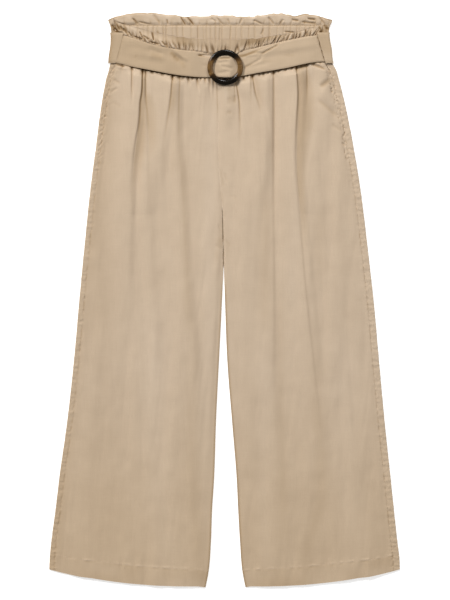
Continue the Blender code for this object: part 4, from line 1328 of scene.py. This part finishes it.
def waistband_front():
    """The front waistband, between the side seams."""
    right, left = (leg_edge(side + "_outer", np.array(BELT_SIDE_HIGH)) - sign * SEAM_INSET[side] - sign * 0.2
                   for side, sign in SIDES.items())
    across = np.linspace(right, left, 420)[None, :] * np.ones((48, 1))
    levels = np.concatenate([np.linspace(0.0, UNDER_BELT_SHARE, 8),
                             np.linspace(UNDER_BELT_SHARE, 1.0, 41)[1:]])[:, None]
    seam, edge = front_seam(across), front_frill(across)
    belt = belt_upper(across) - 4.0
    height = np.where(levels <= UNDER_BELT_SHARE, seam + levels / UNDER_BELT_SHARE * (belt - seam),
                      belt + (levels - UNDER_BELT_SHARE) / (1.0 - UNDER_BELT_SHARE) * (edge - belt))
    out = height - belt_upper(across)
    share = np.clip(out / 17.0, -0.2, 1.3)
    uneven = 0.72 + 0.42 * soft_noise(across, share, 65, 11.0, 0.7)
    creases = gathered(across, share, 61, 7.6, 1.35, 9.0) * uneven
    crowded = gathered(across, share, 66, 6.4, 1.15, 12.0) * ease((np.abs(across) - 30.0) / 40.0)
    creases = np.maximum(creases, 0.8 * crowded)
    pleats = gathered(across, share, 62, 15.0, 2.6, 9.0)
    swell = 0.5 + 0.5 * soft_noise(across, height, 63, 12.0, 16.0)
    rise = ease((out + 3.0) / 6.0)
    middle = bell(across, 95.0)
    tight = ease((0.80 + 0.35 * middle - share) / 0.75)
    up = BAND_TOP + rise * (3.3 + 1.3 * swell) - rise * creases * (4.6 * tight + 0.4)
    up = up - rise * 2.0 * pleats * (0.35 + 0.65 * tight)
    up = up + 1.2 * np.clip(share, 0.0, 1.0) * middle * rise
    up = up - (1.3 - 1.1 * middle) * ease((share - 0.80) / 0.25)
    flat_out = ease((share - 0.40) / 0.55) * (1.0 - middle) * ease((152.0 - np.abs(across)) / 25.0)
    fine = casing_lines(across, height) * ease((share - 0.30) / 0.30) * (1.0 - 0.5 * middle)
    up = up - (up - 3.6) * 0.9 * flat_out - 0.7 * fine
    bunched = line_creases(CORNER_CREASES, across, height) + line_creases(RUFFLE_CREASES, across, height)
    up = np.maximum(up + bunched, 2.9)
    # Painted shade baked into the colour: in the ruffles' creases and pleats and the bunched creases, in the
    # casing's lines and on the flattened sides, over the frill's middle and beside it where it tips away from
    # the light, and at the corners.
    shade = ((0.62 - 0.28 * middle) * creases + (0.35 - 0.22 * middle) * pleats) * tight * rise
    shade = np.maximum(shade, 0.6 * np.clip(-bunched / 2.4, 0.0, 1.0)) + 0.20 * fine + 0.12 * flat_out
    upper = ease((share - 0.2) / 0.45)
    beside = bell(across + 66.0, 17.0) + bell(across - 58.0, 36.0)
    shade = shade + rise * (middle * (0.06 + 0.14 * upper) + 0.24 * beside * upper)
    shade = shade + 0.10 * rise * bell(across - 43.0, 9.0)
    shade = shade + corner_shade(across, height)
    ends = ease((across - right) / 8.0) * ease((left - across) / 8.0)
    up = BAND_TOP + (up - BAND_TOP) * (0.35 + 0.65 * ends)
    points = np.stack([across, height, up], axis=2)
    return cloth_sheet("front_waistband", points, SHELL, CLOTH, shade=np.minimum(shade, 0.85))


band = waistband_front()
declare_sheet(band, "waistband_front")


# ---------------------------------------------------------------------------------------------
# Belt: a tube of the same cloth turned and pressed flat. One end is sewn round the buckle's bar;
# the other comes round from behind, passes over the bar and lies on the first as the tail.
# ---------------------------------------------------------------------------------------------
BELT_THICKNESS = 1.1         # pressed tube, two layers and their turnings
BELT_SIDE_HEIGHT = 862.0     # middle of the belt at the sides
BELT_BUTT = 3.5              # from the belt's sides in to where its pieces meet
BELT_PROUD = 0.3             # how far the belt stands out past the legs' outline
TAIL_END = 164.0             # place across where the tail ends
BUCKLE_X, BUCKLE_HEIGHT, RING_OUTER, RING_INNER = 1.0, 831.0, 28.5, 20.0
BAR_HALF_WIDTH, BAR_THICKNESS, BAR_MIDDLE = 3.0, 1.6, 7.9
RAMP_LENGTH, RIM_CLEAR, EDGE_CLEAR, EDGE_RAMP = 14.0, 19.6, 20.2, 2.2   # of the belt's climb over the bar
STRAP_OVER_BAR, SEWN_OVER_BAR, SEWN_SLACK = 11.9, 10.1, 2.0
# The belt's cloth is the legs' cloth with its colour painted darker: painted shade.
SHADED_BELT_CLOTH = cloth_material("belt cloth with painted shade", (0.525, 0.399, 0.272))


def layer_top(layer):
    """How high a layer of the stack lies, counted from the floor."""
    return layer * LAYER + WALL


def side_slant(across, height):
    """Shift that keeps the belt's ends parallel to the garment's slanting side."""
    low, high = (leg_edge(name, height) - leg_edge(name, np.full_like(height, BELT_SIDE_HEIGHT))
                 for name in ("right_outer", "left_outer"))
    return np.where(across > 0.0, high, low) * ease((np.abs(across) - 120.0) / 40.0)


def buckle_hump(across, height, slack=0.0):
    """How far a belt layer has climbed over the buckle's bar, from 0 at the rim to 1."""
    x, y = across - BUCKLE_X, height - BUCKLE_HEIGHT
    along = (RIM_CLEAR - slack - np.abs(x)) / RAMP_LENGTH
    edge = (EDGE_CLEAR - slack - np.hypot(x, y)) / EDGE_RAMP
    return ease(np.minimum(along, edge))


def belt_grid(edges, stations, rows):
    """Across, height and share up the width of the belt's points."""
    shares = np.linspace(0.0, 1.0, rows)[:, None]
    lower = smooth_line(edges[:, 0], edges[:, 1], stations)
    upper = smooth_line(edges[:, 0], edges[:, 2], stations)
    height = lower + shares * (upper - lower)
    across = stations + 0.0 * shares
    return across + side_slant(across, height), height, shares + 0.0 * across


BELT_CREASES = (
    (-42, 850.6, -30, 850.2, 1.2, 2.2), (-31, 850, -20, 848.6, 1.2, 2.8), (-36, 836, -20, 830, 3, 0.6),
    (-92, 861, -66, 838, 5.5, 0.9), (-80, 858, -60, 842, 3, -1), (-150, 864, -60, 842, 5, 0.5),
    (-168, 850, -100, 836, 6, 0.4), (-120, 850, -95, 846, 5, -0.6), (24, 846.4, 50, 855, 1.2, 0.5),
    (49, 854.6, 62, 853.4, 1.6, 0.5), (60, 853, 74, 860.5, 1.4, 1.1), (73, 860, 86, 867.5, 1.2, 1),
    (29, 829.5, 45, 837.3, 1.8, 0.7), (44, 837, 57, 843.6, 2, 0.8), (56, 843, 60.5, 851.5, 2.2, 0.5),
    (30, 829, 70, 838, 3.5, 0.6), (60, 846, 120, 856, 6, 0.5), (90, 858, 150, 868, 6, -0.5),
    (-9, 845, 10, 846, 1.6, 1.2), (-12, 838, 6, 840, 2.6, 0.9), (-6, 833, 13, 829, 2.6, 0.9),
    (-12, 822, 8, 824, 3, 0.8), (-120, 862, -100, 852, 4, 0.7), (34, 850, 52, 852, 2, -0.7),
    (147.2, 886, 161.4, 840, 1.1, 1.5), (-160, 888, -172.6, 838, 1.3, 0.35),
)

# Soft patches of painted shade on the belt, in the creases' columns, where depth is how dark each is.
BELT_SHADES = (
    (-86, 855.5, -79, 848, 3, 0.26), (-81, 848.5, -73, 842.5, 3.4, 0.24), (-118, 852, -99, 845.5, 4.5, 0.1),
    (-143, 850.5, -141, 847, 2.6, 0.09), (-66, 838, -64, 830, 3, 0.09), (-72, 843, -66, 836, 3.5, 0.08),
    (96, 851, 112, 850, 2.2, 0.07), (60, 842, 76, 841, 2.4, 0.06),
)


def belt_relief(across, height):
    """Shallow folds that both layers of the belt share."""
    shallow = 0.55 * soft_noise(across, height, 71, 22.0, 13.0)
    return 1.7 * line_creases(BELT_CREASES, across, height) + shallow


def tail_edge_painted_shadow(across, height, above):
    """Painted shadow: a dark line where the tail's upper edge lies on the sewn end, from the ring outwards.
    """
    off = height - smooth_line(BELT_EDGES[:, 0], BELT_EDGES[:, 2], across) - above
    return bell(off, 1.15) * ease((across - 18.0) / 5.0) * ease((60.0 - across) / 18.0)


def pressed_edges(shares, width):
    """The folded edges of a pressed tube round off."""
    off = np.minimum(shares, 1.0 - shares) * width
    return -0.7 * (1.0 - np.sqrt(np.clip(1.0 - (1.0 - np.clip(off / 1.2, 0.0, 1.0)) ** 2, 0.0, 1.0)))


def off_buckle(across):
    """0 under the buckle's rim and inside it, 1 away from it: the belt stands off the waist there."""
    return ease((np.abs(across - BUCKLE_X) - 28.0) / 30.0)


def belt_stand_off(across):
    """How far the belt stands off the gathered waist: less towards the loops, which hold it down."""
    return 1.4 + 3.3 * ease((160.0 - np.abs(across)) / 30.0) - 0.9 * ease((across - 20.0) / 20.0)


def belt_strap():
    """The belt from the right side over the bar to the end of its tail."""
    start = float(leg_edge("right_outer", np.array(BELT_SIDE_HEIGHT))) - LAYER + BELT_BUTT
    stations = np.concatenate([np.arange(start, -32.0, 1.9), np.arange(-32.0, 34.0, 1.1),
                               np.arange(34.0, TAIL_END, 1.9), [TAIL_END]])
    across, height, shares = belt_grid(BELT_EDGES, stations, 29)
    base = layer_top(3) + (layer_top(4) - layer_top(3)) * ease((across - BUCKLE_X + 2.0) / 4.0)
    up = base + (STRAP_OVER_BAR - base) * buckle_hump(across, height)
    relief = belt_relief(across, height)
    up = up + off_buckle(across) * (belt_stand_off(across) + relief)
    up = up + (1.0 - off_buckle(across)) * np.minimum(relief, 0.0) * 0.8
    up = up + pressed_edges(shares, 40.0)
    points = np.stack([across, height, up], axis=2)
    # Painted shade baked into the colour: in the sharp creases, a little over the belt's left part and in
    # soft patches, and a painted shadow under the tail's upper edge.
    sharp = tuple(row for row in BELT_CREASES if row[4] < 2.0)
    shade = 0.55 * np.clip(-line_creases(sharp, across, height) / 1.7, 0.0, 1.0) ** 1.3
    shade = shade + 0.11 * ease(-(across + 20.0) / 60.0) - line_creases(BELT_SHADES, across, height)
    shade = shade + 0.62 * tail_edge_painted_shadow(across, height, -0.6)
    return cloth_sheet("belt_strap_and_tail", points, BELT_THICKNESS, SHADED_BELT_CLOTH, shade=shade)


def belt_sewn_end():
    """The belt's other end, from round the bar to the left side, under the tail."""
    stop = float(leg_edge("left_outer", np.array(BELT_SIDE_HEIGHT))) + LAYER - BELT_BUTT
    stations = np.concatenate([np.arange(BUCKLE_X + BAR_HALF_WIDTH, 34.0, 1.1),
                               np.arange(34.0, stop, 2.2), [stop]])
    across, height, shares = belt_grid(SEWN_END_EDGES, stations, 25)
    base = layer_top(3)
    up = base + (SEWN_OVER_BAR - base) * buckle_hump(across, height, SEWN_SLACK)
    relief = belt_relief(across, height)
    up = up + off_buckle(across) * (belt_stand_off(across) - 0.5 + relief) + pressed_edges(shares, 40.0)
    up = up + (1.0 - off_buckle(across)) * np.minimum(relief, 0.0) * 0.8
    radius = SEWN_OVER_BAR - BAR_MIDDLE
    turn = [(x, BAR_MIDDLE - radius) for x in (8.0, 5.0, 2.0)]
    middle = -(BAR_HALF_WIDTH - BAR_THICKNESS / 2.0)
    for angle in np.radians(np.linspace(270.0, 90.0, 9)):
        turn.append((middle + radius * math.cos(angle), BAR_MIDDLE + radius * math.sin(angle)))
    turn.append((1.0, SEWN_OVER_BAR))
    turn = np.array(turn)
    turn_height = height[:, :1] + 0.0 * turn[:, 0]
    across = np.concatenate([BUCKLE_X + turn[:, 0] + 0.0 * turn_height, across], axis=1)
    up = np.concatenate([turn[:, 1] + 0.0 * turn_height, up], axis=1)
    height = np.concatenate([turn_height, height], axis=1)
    points = np.stack([across, height, up], axis=2)
    cut = np.stack([cloth_run(across, up), height], axis=2) * MM
    shade = 0.55 * tail_edge_painted_shadow(across, height, 0.4)
    return cloth_sheet("belt_end_round_the_bar", points, BELT_THICKNESS, SHADED_BELT_CLOTH, cut, shade)


def belt_back():
    """The belt behind the back, turned round the sides to meet the two front pieces."""
    rows = np.linspace(0.0, 1.0, 21)[:, None]
    ends = BELT_SIDE_LOW + rows * (BELT_SIDE_HIGH - BELT_SIDE_LOW)
    top = layer_top(3)
    radius = top / 2.0
    halves = []
    for side, sign in SIDES.items():
        outer = leg_edge(side + "_outer", ends) + sign * BELT_PROUD
        ground = 0.0 * outer
        flat_end = outer - sign * radius
        across = [share * flat_end for share in np.linspace(0.0, 1.0, 60)[:-1]]
        up = [ground] * len(across)
        round_edge(across, up, flat_end, ground + radius, radius, sign, np.linspace(-90.0, 90.0, 13))
        across.append(outer - sign * (BELT_BUTT - BELT_PROUD))
        up.append(ground + top)
        across, up = np.concatenate(across, axis=1), np.concatenate(up, axis=1)
        height = ends + belt_behind_edge(across) - BELT_SIDE_LOW
        wave = np.maximum(0.0, soft_noise(across, height, 72, 22.0, 16.0)) * 0.5
        up = up + wave * (up < 0.1) * ease((np.abs(outer) - np.abs(across) - 6.0) / 10.0)
        halves.append(np.stack([across, height, up], axis=2))
    points = both_sides(halves)
    cut = np.stack([-cloth_run(points[:, :, 0], points[:, :, 2]), points[:, :, 1]], axis=2) * MM
    return cloth_sheet("belt_behind", points, BELT_THICKNESS, SHADED_BELT_CLOTH, cut)


strap = belt_strap()
declare_sheet(strap, "belt_strap")
sewn_end = belt_sewn_end()
declare_sheet(sewn_end, "belt_sewn_end")
behind = belt_back()
declare_sheet(behind, "belt_back")


# ---------------------------------------------------------------------------------------------
# Belt loops: a folded strip over each side seam, sewn down above and below the belt, half of it
# showing from the front.
# ---------------------------------------------------------------------------------------------
LOOP_HEIGHTS = (838.0, 887.0)    # both ends of a loop
# Place across of each loop's inner edge at both ends, and how high its face lies.
LOOP_INNER = {"right": (-174.3, -161.5), "left": (161.5, 147.5)}
LOOP_TOP = {"right": 7.0, "left": 8.4}
LOOP_RADIUS, LOOP_THICKNESS = 3.2, 0.6


def belt_loop(side):
    """One belt loop, over the belt and round the side of the garment."""
    sign = SIDES[side]
    low, high = LOOP_HEIGHTS
    shares = np.linspace(0.0, 1.0, 31)[:, None]
    height = low + shares * (high - low)
    inner = LOOP_INNER[side][0] + shares * (LOOP_INNER[side][1] - LOOP_INNER[side][0])
    if side == "right":
        proud = 1.0 + 2.4 * ease((868.0 - height) / 24.0)
    else:
        proud = 1.6 - 0.7 * ease((height - 876.0) / 10.0)
    outer = leg_edge(side + "_outer", height) + sign * proud
    ground, top = 0.0 * outer, LOOP_TOP[side]
    flat_end = outer - sign * LOOP_RADIUS
    across = [inner + share * (flat_end - inner) for share in np.linspace(0.0, 1.0, 14)[:-1]]
    up = [ground + top] * len(across)
    round_edge(across, up, flat_end, ground + (top - LOOP_RADIUS), LOOP_RADIUS, sign,
               np.linspace(90.0, 0.0, 8))
    for low_down in (3.0, 1.6, 0.3):
        across.append(outer)
        up.append(ground + low_down)
    across, up = np.concatenate(across, axis=1), np.concatenate(up, axis=1)
    height = height + 0.0 * across
    ends = 1.0 - ease((height - low) / 4.0) * ease((high - height) / 4.0)
    up = up - 0.9 * ends * (up > 3.5)
    up = up + 0.25 * soft_noise(across, height, 73, 9.0, 12.0) * (up > 3.5)
    points = np.stack([across, height, up], axis=2)
    cut = np.stack([cloth_run(across, up), height], axis=2) * MM
    # Painted shade: the right loop is painted darker all over and most towards its outer edge, where it turns
    # round the side; the left one towards its upper end.
    if side == "right":
        shade = 0.10 + 0.42 * np.exp(-np.abs(outer - across) / 2.6)
        points, cut, shade = points[:, ::-1], cut[:, ::-1], shade[:, ::-1]
    else:
        shade = 0.12 * ease((height - 846.0) / 16.0)
    return cloth_sheet(side + "_belt_loop", points, LOOP_THICKNESS, SHADED_BELT_CLOTH, cut, shade)


for side in SIDES:
    loop = belt_loop(side)
    edge = float(leg_edge(side + "_outer", np.array(LOOP_HEIGHTS[1]))) - SIDES[side] * 2.0
    tacks = sew(side + "_belt_loop_stitches", loop,
                [[(LOOP_INNER[side][1] + share * (edge - LOOP_INNER[side][1]), LOOP_HEIGHTS[1] - 2.6)
                  for share in np.linspace(0.12, 0.95, 12)]])
    declare_sheet(loop, "belt_loop_" + side)


# ---------------------------------------------------------------------------------------------
# Ring buckle: polished tortoiseshell resin, near-black above and below and clear amber at the
# sides, moulded in one with the bar that the belt passes over.
# ---------------------------------------------------------------------------------------------
RING_BOTTOM, RING_THICKNESS = 7.1, 5.5
BAR_ROOT, BAR_EDGE = 2.0, 0.7    # how far the bar runs into the ring, and the rounding of its edges


def tortoiseshell():
    """Resin that turns from near-black above and below the middle to amber at the sides, with clouds."""
    material, tree, shader = new_material("tortoiseshell resin")
    place = add_node(tree, "ShaderNodeTexCoord").outputs["Object"]
    centre = add_node(tree, "ShaderNodeMapping")
    feed(tree, centre, Location=(-BUCKLE_X * MM, -(HEM_Y + BUCKLE_HEIGHT * MM), 0.0), Vector=place)
    split = feed(tree, add_node(tree, "ShaderNodeSeparateXYZ"), Vector=centre.outputs[0])
    square = [maths(tree, "POWER", maths(tree, "ABSOLUTE", split.outputs[axis]), 2.0) for axis in (0, 1)]
    sideways = maths(tree, "DIVIDE", square[0], maths(tree, "ADD", *square))
    cloud = add_node(tree, "ShaderNodeTexNoise")
    feed(tree, cloud, Scale=90.0, Detail=3.0, Distortion=0.8, Vector=place)
    wander = maths(tree, "MULTIPLY_ADD", cloud.outputs[0], 0.9, sideways)
    ramp = add_node(tree, "ShaderNodeValToRGB")
    stops = ((0.84, (0.0045, 0.0024, 0.0006)), (1.08, (0.020, 0.010, 0.003)),
             (1.24, (0.078, 0.038, 0.012)), (1.35, (0.132, 0.068, 0.022)), (1.47, (0.200, 0.112, 0.038)))
    most = 1.9                   # the most that wander can be
    colours = ramp.color_ramp.elements
    for end, (position, colour) in zip((0, 1), (stops[0], stops[-1])):
        colours[end].position = position / most
        colours[end].color = (*colour, 1.0)
    for position, colour in stops[1:-1]:
        colours.new(position / most).color = (*colour, 1.0)
    tree.links.new(maths(tree, "DIVIDE", wander, most), ramp.inputs[0])
    feed(tree, shader, Base_Color=ramp.outputs[0], Roughness=0.22, Specular_IOR_Level=0.20, Coat_Weight=0.12,
         Coat_Roughness=0.12)
    return material


def ring_buckle():
    """Ring turned from a rounded section, with the flat bar across its middle."""
    centre = np.array((BUCKLE_X, BUCKLE_HEIGHT, RING_BOTTOM + RING_THICKNESS / 2.0))
    middle_radius = (RING_OUTER + RING_INNER) / 2.0
    half_width, half_height = (RING_OUTER - RING_INNER) / 2.0, RING_THICKNESS / 2.0
    around, section = 112, 28
    shape = bmesh.new()
    rings = []
    for turn in np.linspace(0.0, math.tau, around, endpoint=False):
        ring = []
        for angle in np.linspace(0.0, math.tau, section, endpoint=False):
            c, s = math.cos(angle), math.sin(angle)
            reach = middle_radius + half_width * math.copysign(abs(c) ** 0.82, c)
            point = centre + (reach * math.cos(turn), reach * math.sin(turn),
                              half_height * math.copysign(abs(s) ** 0.82, s))
            ring.append(shape.verts.new(point * MM + (0.0, HEM_Y, 0.0)))
        rings.append(ring)
    for i in range(around):
        for j in range(section):
            near, far = rings[i], rings[(i + 1) % around]
            shape.faces.new((near[j], far[j], far[(j + 1) % section], near[(j + 1) % section]))
    size = (2.0 * BAR_HALF_WIDTH, 2.0 * (RING_INNER + BAR_ROOT), BAR_THICKNESS)
    place = Matrix.Translation((BUCKLE_X * MM, HEM_Y + BUCKLE_HEIGHT * MM, BAR_MIDDLE * MM))
    bar = bmesh.ops.create_cube(shape, size=MM, matrix=place @ Matrix.Diagonal((*size, 1.0)))["verts"]
    edges = list({edge for corner in bar for edge in corner.link_edges})
    bmesh.ops.bevel(shape, geom=edges, offset=BAR_EDGE * MM, segments=3, profile=0.5, affect="EDGES")
    mesh = bpy.data.meshes.new("ring buckle")
    shape.to_mesh(mesh)
    shape.free()
    mesh.shade_smooth()
    mesh.materials.append(tortoiseshell())
    return add_thing("tortoiseshell_buckle", mesh)


buckle = ring_buckle()
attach(buckle, "root")
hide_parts("ring_buckle")


# ---------------------------------------------------------------------------------------------
# Floor, soft studio light from above and a little to the left, and the camera looking straight
# down at the garment.
# ---------------------------------------------------------------------------------------------
VIEW_HEIGHT = 0.96           # height of the camera's view where the garment lies, in metres
CAMERA_UP = 5.0              # height of the camera above the floor, in metres
SENSOR = 36.0                # width of the camera's sensor, in millimetres
FLOOR_UNDER, FLOOR_HALF = 0.0004, 30.0   # how far under the garment the floor lies, and half its size


def floor():
    """White paper that the garment lies on."""
    mesh = bpy.data.meshes.new("floor")
    shape = bmesh.new()
    bmesh.ops.create_grid(shape, x_segments=2, y_segments=2, size=FLOOR_HALF)
    bmesh.ops.translate(shape, verts=shape.verts, vec=(0.0, 0.0, -FLOOR_UNDER))
    shape.to_mesh(mesh)
    shape.free()
    material, tree, shader = new_material("white paper")
    feed(tree, shader, Base_Color=(0.78, 0.78, 0.78, 1.0), Roughness=0.95, Specular_IOR_Level=0.1,
         Emission_Color=(1.0, 1.0, 1.0, 1.0), Emission_Strength=0.60)
    mesh.materials.append(material)
    add_thing("floor", mesh)


def soft_light(name, place, size, power):
    """A round lamp that faces the middle of the garment."""
    lamp = bpy.data.lights.new(name, "AREA")
    lamp.shape = "DISK"
    lamp.size = size
    lamp.energy = power
    thing = add_thing(name, lamp)
    thing.location = place
    thing.rotation_euler = (-Vector(place)).to_track_quat("-Z", "Y").to_euler()


floor()
soft_light("key", (-3.3, 3.4, 4.6), 1.9, 318.0)
soft_light("top", (0.6, 3.4, 2.8), 1.2, 70.0)
soft_light("side fill", (3.6, 1.2, 4.2), 2.2, 34.0)
world = bpy.data.worlds.new("studio")
world.use_nodes = True
feed(world.node_tree, world.node_tree.nodes["Background"], Color=(1.0, 1.0, 1.0, 1.0), Strength=0.19)
bpy.context.scene.world = world
bpy.context.scene.view_settings.view_transform = "Standard"

view = bpy.data.cameras.new("camera")
view.sensor_width = SENSOR
view.lens = SENSOR * CAMERA_UP / VIEW_HEIGHT
camera = add_thing("camera", view)
camera.location = (0.0007, 0.0, CAMERA_UP)
bpy.context.scene.camera = camera
